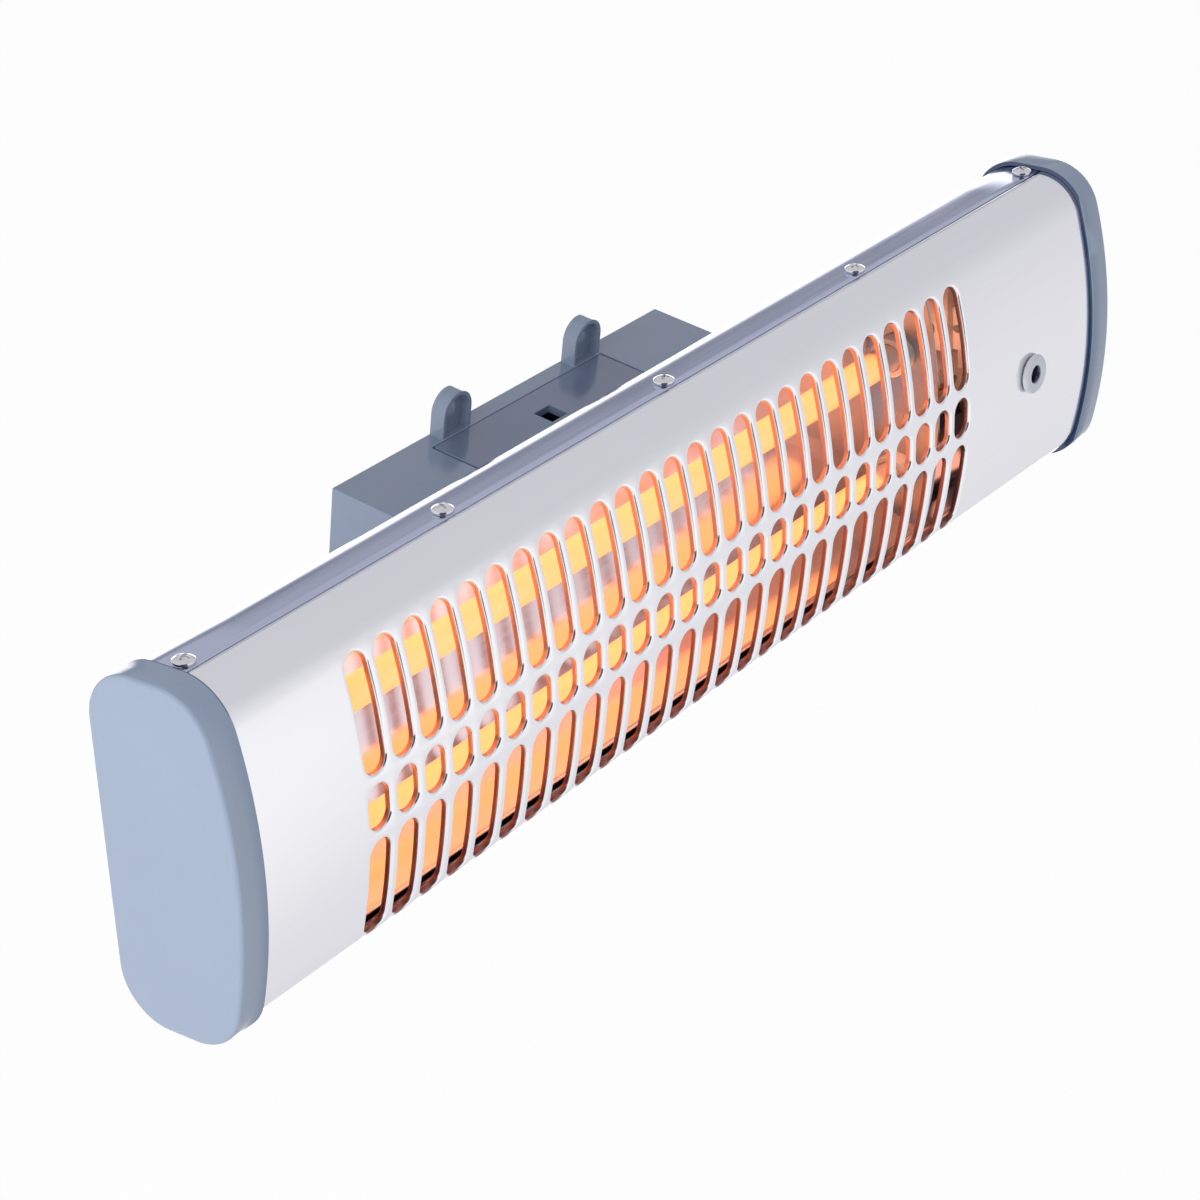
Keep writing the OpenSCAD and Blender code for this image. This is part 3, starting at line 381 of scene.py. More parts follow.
cover(mirror_sheet, reflector)

# Tube sheets. Two zinc-plated plates with a folded foot, screwed to the rear shell beside the reflector.
# Each has two holes, in which the ceramic holders of the quartz tubes sit.
zinc = finish(
    "zinc", moulded, paint(186, 188, 194), spread=0.2, roughness=0.35, rub=0.25, grain=500, relief=0.01,
    Metallic=1.0,
)
for end in ("left", "right"):
    cover(zinc, eased(end + "_tube_plate", [end + "_tube_sheet"], "heater", width=0.2))

# Quartz tubes. Two milky tubes of fused quartz, 10 mm across, fire-polished at both ends.
# They spread the glow of the wire inside, and each stands loosely in two ceramic holders.
TUBE_R = 5.0
TUBE_WALL = 1.0
TUBE_SIDES = 40
TUBE_Y = -1.8
TUBE_PITCH = 44.2
COLLAR = 3.0
GLOW_LEFT = -196.0
GLOW_RIGHT = 115.0
GLOW_SOFT = 3.0
QUARTZ_GLOW = (1.0, 0.36, 0.07)
QUARTZ_STRENGTH = 0.98
# Warm light painted on the reflector as a reflection of the upper tube.
PAINTED_BACK_REFLECTION = (1.0, 0.26, 0.1)
PAINTED_BACK_STRENGTH = 0.3
PAINTED_BACK_FROM = 3.0
PAINTED_BACK_FULL = 12.0
CASING_ALONG = (1, 0, 0)
CASING_UP = (0, math.sin(LEAN), math.cos(LEAN))
tube_heights = {"upper": TUBE_PITCH / 2 - TUBE_DROP, "lower": -TUBE_PITCH / 2 - TUBE_DROP}


def turned(radius, along, steps):
    """Surface of revolution about Z: the profile's points go round it in equal steps. A profile that starts
    on the axis at the bottom and ends on it at the top gets faces that point outwards."""
    angle = np.linspace(0, 2 * np.pi, steps, endpoint=False)[None]
    radius, along = np.asarray(radius, float)[:, None], np.asarray(along, float)[:, None]
    return np.stack(np.broadcast_arrays(radius * np.cos(angle), radius * np.sin(angle), along), -1)


def closed_part(points):
    """Part of a piece from a grid of casing points whose rows are closed rings."""
    return casing_to_row(points), grid_quads(*points.shape[:2], closed=True)


def lay_along_x(points, y, z):
    """Turns what was made about Z to lie along the casing's X, with its axis at y and z."""
    return points[..., [2, 0, 1]] + np.array([0, y, z])


tube_ends = np.array([LEFT_SHEET_X - COLLAR, RIGHT_SHEET_X + CARRIER + COLLAR])
polish_turn = np.linspace(0, np.pi, 7)
polish = TUBE_WALL / 2 * np.array([np.sin(polish_turn), -np.cos(polish_turn)])
wall_middle = TUBE_R - TUBE_WALL / 2
tube_radius = np.concatenate([wall_middle + polish[1], wall_middle - polish[1], [TUBE_R - TUBE_WALL]])
tube_along = np.concatenate([
    tube_ends[0] + TUBE_WALL / 2 - polish[0],
    tube_ends[1] - TUBE_WALL / 2 + polish[0],
    [tube_ends[0] + TUBE_WALL / 2],
])
tube_shape = turned(tube_radius, tube_along, TUBE_SIDES)


def step_over(tree, value, low, high):
    """Smooth step of a value in metres, from zero at low to one at high, both given in millimetres."""
    return put(tree, "ShaderNodeMapRange", {
        "Value": value, "From Min": low * MM, "From Max": high * MM,
    }, interpolation_type="SMOOTHSTEP").outputs[0]


def off_point(tree, casing_point):
    """Where the shaded point lies from a point of the casing, along the axes of the part's frame."""
    place = put(tree, "ShaderNodeTexCoord").outputs["Object"]
    start = casing_to_row(np.array(casing_point, float)).tolist()
    return put(tree, "ShaderNodeVectorMath", {0: place, 1: start}, operation="SUBTRACT").outputs[0]


def along_line(tree, off, direction):
    """How far off's point lies along a direction."""
    return put(tree, "ShaderNodeVectorMath", {0: off, 1: direction}, operation="DOT_PRODUCT").outputs["Value"]


glowing_length = new_group("glowing length", {}, {"Share": "Float"})
from_middle = along_line(glowing_length, off_point(glowing_length, [0, 0, 0]), CASING_ALONG)
glowing = [
    step_over(glowing_length, from_middle, start, start + inwards)
    for start, inwards in ((GLOW_LEFT, GLOW_SOFT), (GLOW_RIGHT, -GLOW_SOFT))
]
put(glowing_length, "NodeGroupOutput", {"Share": sums(glowing_length, "MULTIPLY", *glowing)})


def shader_of(material):
    """The shader of a finish."""
    return next(node for node in material.node_tree.nodes if node.type == "BSDF_PRINCIPLED")


def glow(material, colour, strength, within=1.0):
    """Makes a material give off light of a colour along the glowing length of the tubes and none beyond it.
    Within is one where it may glow, and less elsewhere."""
    tree = material.node_tree
    length_share = put(tree, "ShaderNodeGroup", node_tree=glowing_length).outputs["Share"]
    share = sums(tree, "MULTIPLY", length_share, within)
    lit = put(tree, "ShaderNodeVectorMath", {0: colour, 1: share}, operation="MULTIPLY").outputs[0]
    tree.links.new(lit, shader_of(material).inputs["Emission Color"])
    shader_of(material).inputs["Emission Strength"].default_value = strength


quartz = finish(
    "quartz", moulded, paint(255, 232, 214), spread=0.1, roughness=0.25, rub=0.1, grain=300, relief=0.004,
    Alpha=0.8, Coat_Weight=0.5, Coat_Roughness=0.05,
)
glow(quartz, QUARTZ_GLOW, QUARTZ_STRENGTH)
for which, tube_z in tube_heights.items():
    tube = new_piece(
        which + "_tube", [closed_part(lay_along_x(tube_shape, TUBE_Y, tube_z))],
        "heater", [which + "_quartz_tube"],
    )
    cover(quartz, tube)

# Painted reflection. Behind and above the upper tube the reflector gives off a little warm light of its own,
# which stands in for the tube's light that the sheet throws back there.
mirror_tree = mirror_sheet.node_tree
back_level = along_line(mirror_tree, off_point(mirror_tree, [0, 0, 0]), CASING_UP)
painted_reflection_share = step_over(mirror_tree, back_level, PAINTED_BACK_FROM, PAINTED_BACK_FULL)
glow(mirror_sheet, PAINTED_BACK_REFLECTION, PAINTED_BACK_STRENGTH, painted_reflection_share)

# Heating coils. Resistance wire, 0.8 mm thick, wound to an open helix that glows orange along the tube.
# A thick straight tail leads from each end of the helix to its terminal.
WIRE_R = 0.4
WIRE_SIDES = 5
WINDING_R = 2.9
WINDING_PITCH = 2.2
STEPS_PER_TURN = 12
TAIL_R = 0.9
TAIL_SIDES = 10
HOLDER_OUT = 9.0
WIRE_GLOW = (1.0, 0.48, 0.11)
WIRE_STRENGTH = 1.7


def helix_tube(start, stop, radius, pitch, wire_r, sides):
    """Round wire along a helix about X. Rings stand square to the path: one arm of a ring points away from
    the axis, the other is the cross product of that arm and the path's direction."""
    turns = (stop - start) / pitch
    angle = np.linspace(0, 2 * np.pi * turns, int(turns * STEPS_PER_TURN) + 1)
    still = 0 * angle
    out = np.stack([still, np.cos(angle), np.sin(angle)], -1)
    path = radius * out + np.stack([np.linspace(start, stop, len(angle)), still, still], -1)
    ahead = np.stack([still + pitch / (2 * np.pi), -radius * np.sin(angle), radius * np.cos(angle)], -1)
    across = np.cross(out, ahead / np.linalg.norm(ahead, axis=1)[:, None])
    around = np.linspace(0, 2 * np.pi, sides, endpoint=False)[None, :, None]
    return path[:, None] + wire_r * (np.cos(around) * out[:, None] + np.sin(around) * across[:, None])


tail_ends = np.array([LEFT_SHEET_X - HOLDER_OUT, RIGHT_SHEET_X + CARRIER + HOLDER_OUT])
tails = [
    turned([0, TAIL_R, TAIL_R, 0], [a, a, b, b], TAIL_SIDES)
    for a, b in ((tail_ends[0], GLOW_LEFT + WINDING_PITCH), (GLOW_RIGHT - WINDING_PITCH, tail_ends[1]))
]
hot_wire = finish(
    "hot_wire", moulded, paint(150, 140, 136), spread=0.1, roughness=0.4, rub=0.1, grain=900, relief=0.005,
    Metallic=1.0,
)
glow(hot_wire, WIRE_GLOW, WIRE_STRENGTH)
winding = helix_tube(GLOW_LEFT, GLOW_RIGHT, WINDING_R, WINDING_PITCH, WIRE_R, WIRE_SIDES)
for which, tube_z in tube_heights.items():
    coil_parts = [closed_part(winding + np.array([0, TUBE_Y, tube_z]))]
    coil_parts += [closed_part(lay_along_x(tail, TUBE_Y, tube_z)) for tail in tails]
    cover(hot_wire, new_piece(which + "_coil", coil_parts, "heater", [which + "_heating_coil"]))

# Ceramic holders. Pressed from off-white steatite, with a collar that rests on the tube sheet.
# Each centres one end of a tube and insulates the terminal stud that passes through it.
ceramic = finish(
    "ceramic", moulded, paint(236, 229, 216), spread=0.1, roughness=0.55, rub=0.15, grain=1400, relief=0.02,
)
for end in ("left", "right"):
    cover(ceramic, eased(end + "_holder_pair", [end + "_ceramic_holders"], "heater", width=0.35))

# Terminals. Brass studs with nuts at the four ends of the tubes, joined on the left by a copper strap.
# The brass screws of the terminal block and the earth screw share their finish.
brass = finish(
    "brass", moulded, paint(214, 186, 118), spread=0.15, roughness=0.3, rub=0.2, grain=1300, relief=0.006,
    Metallic=1.0,
)
copper = finish(
    "copper", drawn, paint(206, 140, 98), spread=0.15, roughness=0.32, rub=0.2, grain=900, relief=0.006,
    Metallic=1.0,
)
cover(brass, nodes["tube_terminals"], nodes["terminal_screws"], nodes["earth_screw"])
cover(copper, nodes["link_strap"])

# Thermal cut-out, gland and its nut. Black mouldings: the first trips if the casing overheats.
# The gland clamps the supply cable where it enters the rear shell.
black_plastic = finish(
    "black_plastic", moulded, paint(58, 60, 66), spread=0.2, roughness=0.4, rub=0.2, grain=1300, relief=0.02,
)
cover(black_plastic, nodes["thermal_cutout"], nodes["gland_nut"])
cover(black_plastic, eased("cable_gland_moulding", ["cable_gland"], "heater", width=0.5))

# Switch and terminal block. White mouldings on the rear shell behind the cord guide.
# The cord would pull the lever, which hangs in the fork of the switch housing on a plated pin.
white_plastic = finish(
    "white_plastic", moulded, paint(232, 231, 224), spread=0.08, roughness=0.35, rub=0.15, grain=1200,
    relief=0.015,
)
cover(white_plastic, nodes["switch_housing"], nodes["terminal_block"], nodes["switch_lever"])

# Wires. Stranded copper in soft plastic sleeves, coloured by what they do.
# They run from the terminal block to the switch, the tubes' terminals and the earth screw.
for node, colour in (
    ("supply_wires", paint(116, 66, 40)),
    ("element_wires", paint(226, 222, 210)),
    ("return_wire", paint(58, 92, 158)),
    ("earth_wire", paint(120, 158, 52)),
):
    sleeve = finish(
        node + "_sleeve", moulded, colour, spread=0.12, roughness=0.42, rub=0.1, grain=1600, relief=0.01,
    )
    cover(sleeve, nodes[node])

# Front shell. One sheet of satin stainless steel, 0.8 mm thick, pressed to a long bulge.
# Three rows of slots are pierced in it, and their edges are drawn inwards to smooth lips.
# It bends over at top and bottom, where its joggled tongue slides under the rear shell.
COLUMNS = 26
PITCH = 12.5
SLOT_W = 9.2
GRILLE_MIDDLE = -19.6
SLOTS = ((43.5, 36.5), (3.5, 14.5), (-14.5, 32.5))  # each row's top and its length
WEB = 3.5
MARGIN = 2.0
LIP_R = 0.9
LIP_DEPTH = 2.4
LIP_STEPS = 5
LIP_EDGE = 0.25
CELL_ACROSS = 6
END_STEPS = 5
SIDE_STEPS = (8, 2, 8)
GUIDE_X = 183.5
GUIDE_Z = -4.0
GUIDE_HOLE_R = 4.65
GUIDE_CELL = 9.0
TONGUE_LENGTH = 8.0

grille_x = GRILLE_MIDDLE + PITCH * COLUMNS / 2 * np.array([-1, 1])
cell_edges = [
    SLOTS[0][0] + MARGIN, SLOTS[1][0] + WEB / 2, SLOTS[2][0] + WEB / 2, SLOTS[2][0] - SLOTS[2][1] - MARGIN
]


def run_to(z):
    """Length along the outline from the crest to height z, on the wide arc or on the corner arc beyond it."""
    high = np.abs(z)
    on_bulge = BULGE_R * np.arcsin(np.minimum(high / BULGE_R, 1))
    past_bulge = np.arcsin(np.clip((high - corner_z) / CORNER_R, 0, 1)) - corner_turn
    on_corner = bulge_end + CORNER_R * past_bulge
    return np.sign(z) * np.where(high < BULGE_R * math.sin(corner_turn), on_bulge, on_corner)


def level_lines(row):
    """Heights of the grid lines across a row of slots: its end arcs and its straight sides in even steps."""
    top, length = SLOTS[row]
    high, low = top - SLOT_W / 2, top - length + SLOT_W / 2
    return np.concatenate([
        np.linspace(cell_edges[row], high, END_STEPS + 1),
        np.linspace(high, low, SIDE_STEPS[row] + 1)[1:],
        np.linspace(low, cell_edges[row + 1], END_STEPS + 1)[1:],
    ])


def cell_loop(xs, zs):
    """Points round a cell of the grid, clockwise from where its slot's left side meets the upper end arc."""
    e = END_STEPS
    left, right = np.full(len(zs), xs[0]), np.full(len(zs), xs[-1])
    top, bottom = np.full(len(xs), zs[0]), np.full(len(xs) - 1, zs[-1])
    x = np.concatenate([left[:e], xs, right[1:], xs[-2::-1], left[e + 1 : -1]])
    z = np.concatenate([zs[e:0:-1], top, zs[1:], bottom, zs[e + 1 : -1][::-1]])
    return np.stack([x, z], -1)


def slot_loop(row, grow):
    """Points round a slot grown by grow: half a circle over the top, a straight side, half a circle, and
    back up the other side."""
    top, length = SLOTS[row]
    radius = SLOT_W / 2 + grow
    high, low = top - SLOT_W / 2, top - length + SLOT_W / 2
    sweep = np.linspace(np.pi, 0, CELL_ACROSS + 2 * END_STEPS + 1)
    side = np.linspace(high, low, SIDE_STEPS[row] + 1)[1:-1]
    straight = np.full(len(side), radius)
    x = np.concatenate([radius * np.cos(sweep), straight, -radius * np.cos(sweep), -straight])
    z = np.concatenate([high + radius * np.sin(sweep), side, low - radius * np.sin(sweep), side[::-1]])
    return np.stack([x, z], -1)


def slot_patch(row):
    """Sheet round every slot of one row: from its cell's edge to the slot, over a quarter round and down the
    lip."""
    first = np.linspace(grille_x[0], grille_x[0] + PITCH, CELL_ACROSS + 1)
    middle = grille_x[0] + PITCH / 2
    turn = np.linspace(0, np.pi / 2, LIP_STEPS + 1)
    grow = np.concatenate([LIP_R * (1 - np.sin(turn)), [0, 0]])
    depth = np.concatenate([[0], LIP_R * (1 - np.cos(turn)), np.linspace(LIP_R, LIP_DEPTH, 3)[1:]])
    slot_rings = [slot_loop(row, g) + [middle, 0] for g in grow]
    loops = np.stack([cell_loop(first, level_lines(row))] + slot_rings)
    x = loops[None, :, :, 0] + (np.arange(COLUMNS) * PITCH)[:, None, None]
    points = casing_skin(x, run_to(loops[None, :, :, 1]), depth[None, :, None])
    rings, around = loops.shape[:2]
    firsts = (np.arange(COLUMNS) * rings * around)[:, None, None, None]
    return casing_to_row(points), grid_quads(rings, around, closed=True)[None] + firsts


def guide_patch(xs, zs):
    """Sheet between the edge of the cord guide's cell and its round hole."""
    cell = cell_loop(xs, zs)
    angle = np.arctan2(cell[:, 1] - GUIDE_Z, cell[:, 0] - GUIDE_X)
    hole = [GUIDE_X, GUIDE_Z] + GUIDE_HOLE_R * np.stack([np.cos(angle), np.sin(angle)], -1)
    loops = np.stack([cell, hole])
    return closed_part(casing_skin(loops[..., 0], run_to(loops[..., 1]), 0.0))


guide_x = np.linspace(GUIDE_X - GUIDE_CELL, GUIDE_X + GUIDE_CELL, 9)
across = np.concatenate([
    np.linspace(-SHELL_END, grille_x[0], 9),
    np.linspace(*grille_x, COLUMNS * CELL_ACROSS + 1)[1:],
    np.linspace(grille_x[1], guide_x[0], 4)[1:],
    guide_x[1:],
    np.linspace(guide_x[-1], SHELL_END, 7)[1:],
])
levels = np.concatenate([level_lines(row)[int(row > 0):] for row in range(3)])
seam_run = corner_end + SEAM_Y - corner_y
upward = np.concatenate([
    np.linspace(seam_run, run_to(levels[0]), 17)[:-1],
    run_to(levels),
    np.linspace(run_to(levels[-1]), -seam_run, 13)[1:],
])
plain = grid_quads(len(upward), len(across))
mid_x = (across[1:] + across[:-1]) / 2
mid_run = (upward[1:] + upward[:-1]) / 2
in_rows = (mid_run < run_to(levels[0])) & (mid_run > run_to(levels[-1]))
in_middle = (mid_run < run_to(cell_edges[1])) & (mid_run > run_to(cell_edges[2]))
in_grille = (mid_x > grille_x[0]) & (mid_x < grille_x[1])
in_guide = np.abs(mid_x - GUIDE_X) < GUIDE_CELL
pierced = (in_rows[:, None] & in_grille[None]) | (in_middle[:, None] & in_guide[None])
skin = casing_to_row(casing_skin(across[None], upward[:, None], 0.0))
patches = [slot_patch(row) for row in range(3)] + [guide_patch(guide_x, level_lines(1))]
front_shell = new_piece(
    "front_shell_sheet", [(skin, plain[~pierced])] + patches,
    "heater", ["front_shell"], flip=True,
)
thicken(front_shell, SHEET, LIP_EDGE)
satin_steel = finish(
    "satin_steel", drawn, paint(246, 246, 250), spread=0.03, roughness=0.14, rub=0.05, grain=900,
    relief=0.001, ripple=0.04, Metallic=1.0,
)


def off_line(tree, off, direction):
    """Distance from the line through off's point: the length of the cross product with its direction."""
    crossed = put(tree, "ShaderNodeVectorMath", {0: off, 1: direction}, operation="CROSS_PRODUCT").outputs[0]
    return put(tree, "ShaderNodeVectorMath", {0: crossed}, operation="LENGTH").outputs["Value"]


def blend(tree, share, first, second, blend_type="MIX"):
    """Mix of two colours, each a value or the socket that feeds it, as the socket that it puts out."""
    made = put(tree, "ShaderNodeMix", {0: share}, data_type="RGBA", blend_type=blend_type)
    for socket, colour in zip([socket for socket in made.inputs if socket.type == "RGBA"], (first, second)):
        if isinstance(colour, bpy.types.NodeSocket):
            tree.links.new(colour, socket)
        else:
            socket.default_value = colour
    return next(socket for socket in made.outputs if socket.type == "RGBA")


def tint_colour(material, group):
    """Multiplies the colour of a material by the tint of a node group, and returns the group's outputs."""
    tree = material.node_tree
    outputs = put(tree, "ShaderNodeGroup", node_tree=group).outputs
    base = shader_of(material).inputs["Base Color"]
    tree.links.new(blend(tree, 1.0, base.links[0].from_socket, outputs["Tint"], "MULTIPLY"), base)
    return outputs


# The lips of the slots behind the front face are tinted pink-brown as a painted reflection of the glowing
# interior, deeper below the middle row.
LIPS_TOP = 45.0
LIPS_BOTTOM = -47.2
LIPS_SOFT = 0.6
DEEPER_REFLECTION_FROM = -12.0
DEEPER_REFLECTION_FULL = -16.0
LIP_TINT_SHARES = (0.8, 1.3)
LIP_ROUGHER = 0.3
lips = new_group("slot lips", {}, {"Share": "Float", "Tint": "Color"})
off_bulge = off_point(lips, [0, bulge_y, 0])
lip_level = along_line(lips, off_bulge, CASING_UP)
tint_radii = [BULGE_R - LIP_R * share for share in LIP_TINT_SHARES]
behind_front = step_over(lips, off_line(lips, off_bulge, CASING_ALONG), *tint_radii)
below_top = step_over(lips, lip_level, LIPS_TOP + LIPS_SOFT, LIPS_TOP)
above_bottom = step_over(lips, lip_level, LIPS_BOTTOM - LIPS_SOFT, LIPS_BOTTOM)
lip_share = sums(lips, "MULTIPLY", behind_front, sums(lips, "MULTIPLY", below_top, above_bottom))
# Painted reflection colour of the glow: pink above, deeper brown-red below the middle row.
deeper_reflection_share = step_over(lips, lip_level, DEEPER_REFLECTION_FROM, DEEPER_REFLECTION_FULL)
painted_lip_reflection = blend(lips, deeper_reflection_share, paint(232, 186, 172), paint(168, 122, 116))
put(lips, "NodeGroupOutput", {"Share": lip_share, "Tint": blend(lips, lip_share, WHITE, painted_lip_reflection)})

lip_outputs = tint_colour(satin_steel, lips)
steel_tree, steel_roughness = satin_steel.node_tree, shader_of(satin_steel).inputs["Roughness"]
worn = steel_roughness.links[0].from_socket
rougher = sums(steel_tree, "MULTIPLY_ADD", lip_outputs["Share"], LIP_ROUGHER, worn)
steel_tree.links.new(rougher, steel_roughness)
cover(satin_steel, front_shell)

tongue_run = np.linspace(seam_run - TONGUE_LENGTH / 2, seam_run + TONGUE_LENGTH, 9)
tongue_x = np.array([-SHELL_END, SHELL_END])
for side, name in ((1, "upper_tongue"), (-1, "lower_tongue")):
    sheet = casing_to_row(casing_skin(tongue_x[None], side * tongue_run[:, None], SHEET))
    tongue = new_piece(name, [(sheet, grid_quads(*sheet.shape[:2]))], "heater", flip=side < 0)
    thicken(tongue, SHEET, SHEET_EDGE)
    cover(satin_steel, tongue)

# Cord guide. A turned bush of clear plastic with a rounded flange, in which the pull cord would slide.
# Its barrel passes the front sheet, and a ring nut grips it from behind.
FLANGE_R = 7.2
FLANGE_T = 2.2
BARREL_R = 4.6
BARREL_L = 8.0
BORE_R = 2.6
FRONT_CLEAR = 0.05
MOUTH_W = 1.5
MOUTH_D = 2.6
GUIDE_SIDES = 48
# Where the painted shade inside the bore lies.
DARK_OFF_BORE = 1.1
DARK_SOFT = 0.3
DARK_FROM = 0.1
DARK_FULL = 0.8
bead_turn = np.linspace(-np.pi / 2, np.pi / 2, 13)
bead = FLANGE_T / 2 * np.array([np.cos(bead_turn), np.sin(bead_turn)])
mouth_turn = np.linspace(np.pi / 2, np.pi, 9)
mouth = np.array([MOUTH_W * np.cos(mouth_turn), MOUTH_D * np.sin(mouth_turn)])
guide_radius = np.concatenate([
    [BORE_R, BARREL_R, BARREL_R], FLANGE_R - FLANGE_T / 2 + bead[0], BORE_R + MOUTH_W + mouth[0], [BORE_R]
])
guide_along = np.concatenate([
    [-BARREL_L, -BARREL_L, 0], FLANGE_T / 2 + bead[1], FLANGE_T - MOUTH_D + mouth[1], [-BARREL_L]
])
guide_shape = turned(guide_radius, guide_along, GUIDE_SIDES)
guide_points = guide_shape[..., [0, 2, 1]] * [1, -1, 1] + [GUIDE_X, -HALF_DEPTH - FRONT_CLEAR, GUIDE_Z]
cord_guide = new_piece(
    "cord_guide_bush", [closed_part(guide_points)], "heater", ["cord_guide"],
)
clear_plastic = finish(
    "clear_plastic", moulded, paint(252, 253, 255), spread=0.02, roughness=0.06, rub=0.03, grain=900,
    relief=0.001, Transmission_Weight=0.1, Coat_Weight=1.0, Coat_Roughness=0.04,
)
# Painted shade: inside the bore and its rounded mouth the plastic is darkened, standing in for the shade in
# the hole.
bore = new_group("bore", {}, {"Tint": "Color"})
bore_axis = (0, math.cos(LEAN), -math.sin(LEAN))
off_bore = off_point(bore, [GUIDE_X, -HALF_DEPTH - FRONT_CLEAR - FLANGE_T, GUIDE_Z])
dark_edge = BORE_R + DARK_OFF_BORE
narrow = step_over(bore, off_line(bore, off_bore, bore_axis), dark_edge + DARK_SOFT, dark_edge)
deep = step_over(bore, along_line(bore, off_bore, bore_axis), DARK_FROM, DARK_FULL)
bore_tint = blend(bore, sums(bore, "MULTIPLY", narrow, deep), WHITE, paint(52, 60, 88))
put(bore, "NodeGroupOutput", {"Tint": bore_tint})
tint_colour(clear_plastic, bore)
cover(clear_plastic, cord_guide, nodes["cord_guide_nut"])

# End caps. Deep trays moulded in smooth grey-blue plastic that grip round the ends of both shells.
# Inside each a lug at top and bottom takes the outermost casing screw; these lugs are left out of the drawn
# caps.
CAP_DEPTH = 11.0
CAP_WALL = 1.4
CAP_OUT = 1.5
CAP_EDGE_R = 1.4
CAP_RIM_EDGE = 0.3
# Place of the painted shade at the cap's cut edge.
RIM_LINE = 0.2
RIM_SOFT = 0.3
RIM_REACH = 0.7
edge_turn = np.linspace(0, np.pi / 2, 7)
cap_along = np.concatenate([
    [HALF_LENGTH - CAP_DEPTH, HALF_LENGTH - CAP_DEPTH / 2],
    HALF_LENGTH - CAP_EDGE_R * (1 - np.sin(edge_turn)),
])
cap_inset = np.concatenate([[-CAP_OUT, -CAP_OUT], CAP_EDGE_R * (1 - np.cos(edge_turn)) - CAP_OUT])
half_round = np.concatenate([
    np.linspace(0, bulge_end, 13)[:-1],
    np.linspace(bulge_end, corner_end, 17)[:-1],
    np.linspace(corner_end, strip_end, 3)[:-1],
    np.linspace(strip_end, heel_end, 17)[:-1],
    np.linspace(heel_end, back_end, 5)[:-1],
])
all_round = np.concatenate([half_round, [back_end], -half_round[:0:-1]])
cap_skin = casing_skin(cap_along[:, None], all_round[None], cap_inset[:, None])
face_shares = np.array([0.7, 0.4, 0.15, 0])[:, None, None]
cap_points = np.concatenate([cap_skin, cap_skin[-1] * (face_shares * [0, 1, 1] + [1, 0, 0])])
cap_plastic = finish(
    "cap_plastic", moulded, paint(168, 182, 203), spread=0.04, roughness=0.18, rub=0.06, grain=1100,
    relief=0.003, Coat_Weight=0.5, Coat_Roughness=0.04,
)

# Painted shade: the cap's cut edge next to the front shell is darkened, where shade falls in the joint
# between them.
rim_gap_shade = new_group("rim end", {}, {"Tint": "Color"})
off_casing = off_point(rim_gap_shade, [0, bulge_y, 0])
off_middle = sums(rim_gap_shade, "ABSOLUTE", along_line(rim_gap_shade, off_casing, CASING_ALONG))
rim_x = HALF_LENGTH - CAP_DEPTH + RIM_LINE
rim_r = BULGE_R + RIM_REACH
cut_end = step_over(rim_gap_shade, off_middle, rim_x + RIM_SOFT, rim_x)
at_sheet = step_over(rim_gap_shade, off_line(rim_gap_shade, off_casing, CASING_ALONG), rim_r + RIM_SOFT, rim_r)
painted_gap_shade = blend(rim_gap_shade, sums(rim_gap_shade, "MULTIPLY", cut_end, at_sheet), WHITE, paint(112, 128, 160))
put(rim_gap_shade, "NodeGroupOutput", {"Tint": painted_gap_shade})
tint_colour(cap_plastic, rim_gap_shade)
for side, name in ((-1, "left"), (1, "right")):
    cap = new_piece(
        name + "_cap", [closed_part(cap_points * [side, 1, 1])],
        "heater", [name + "_end_cap"], flip=side > 0,
    )
    thicken(cap, CAP_WALL, CAP_RIM_EDGE)
    cover(cap_plastic, cap)

# Casing screws. Nickel-plated pan heads with a cross recess, five along the top strip and five along the
# bottom. They clamp the front shell's tongue to the rear shell, and the outer ones also hold the end caps.
HEAD_R = 3.4
HEAD_H = 2.3
HEAD_FOOT = 0.2
HEAD_RIM = 0.6
HEAD_SIDES = 72
SHANK_R = 1.7
SHANK_L = 8.0
RECESS_L = 1.9
RECESS_W = 0.45
RECESS_D = 1.1
RECESS_END_SOFT = 0.5
RECESS_SIDE_SOFT = 0.3
SCREW_Y = 2.7
SCREW_STEP = 110.0
MIDDLE_TURN = 0.5
TURN_STEP = 0.9
dome_r = (HEAD_R**2 + HEAD_H**2 / 4) / HEAD_H
dome = np.linspace(HEAD_R, 0, 36)
dome_height = np.sqrt(dome_r**2 - dome**2) + HEAD_H - dome_r
head_radius = np.concatenate([[0, SHANK_R, SHANK_R, HEAD_R - HEAD_FOOT, HEAD_R, HEAD_R], dome])
head_height = np.concatenate([[-SHANK_L, -SHANK_L, 0, 0, HEAD_FOOT, HEAD_RIM], dome_height])
head = turned(head_radius, head_height, HEAD_SIDES)


def fade(distance, soft):
    """One inside an edge and zero outside it. Over the soft width the share t falls evenly from one to zero,
    and the result is three times its square less twice its cube."""
    t = np.clip(0.5 - distance / soft, 0, 1)
    return t * t * (3 - 2 * t)


reach = np.abs(head[..., :2])
arms = [
    fade(reach[..., a] - RECESS_L, RECESS_END_SOFT) * fade(reach[..., 1 - a] - RECESS_W, RECESS_SIDE_SOFT)
    for a in (0, 1)
]
head[..., 2] -= np.where(head[..., 2] > HEAD_H / 2, RECESS_D, 0) * np.maximum(*arms)
for side, name in ((1, "top"), (-1, "bottom")):
    screws = []
    for number in range(-2, 3):
        slant = MIDDLE_TURN + TURN_STEP * number
        c, s = math.cos(slant), math.sin(slant)
        x, y, z = np.moveaxis(head, -1, 0)
        spun = np.stack([x * c - y * s, x * s + y * c, z], -1) * [1, side, side]
        screws.append(closed_part(spun + np.array([number * SCREW_STEP, SCREW_Y, side * HALF_HEIGHT])))
    cover(nickel, new_piece(name + "_casing_screws", screws, "heater", [name + "_screws"]))

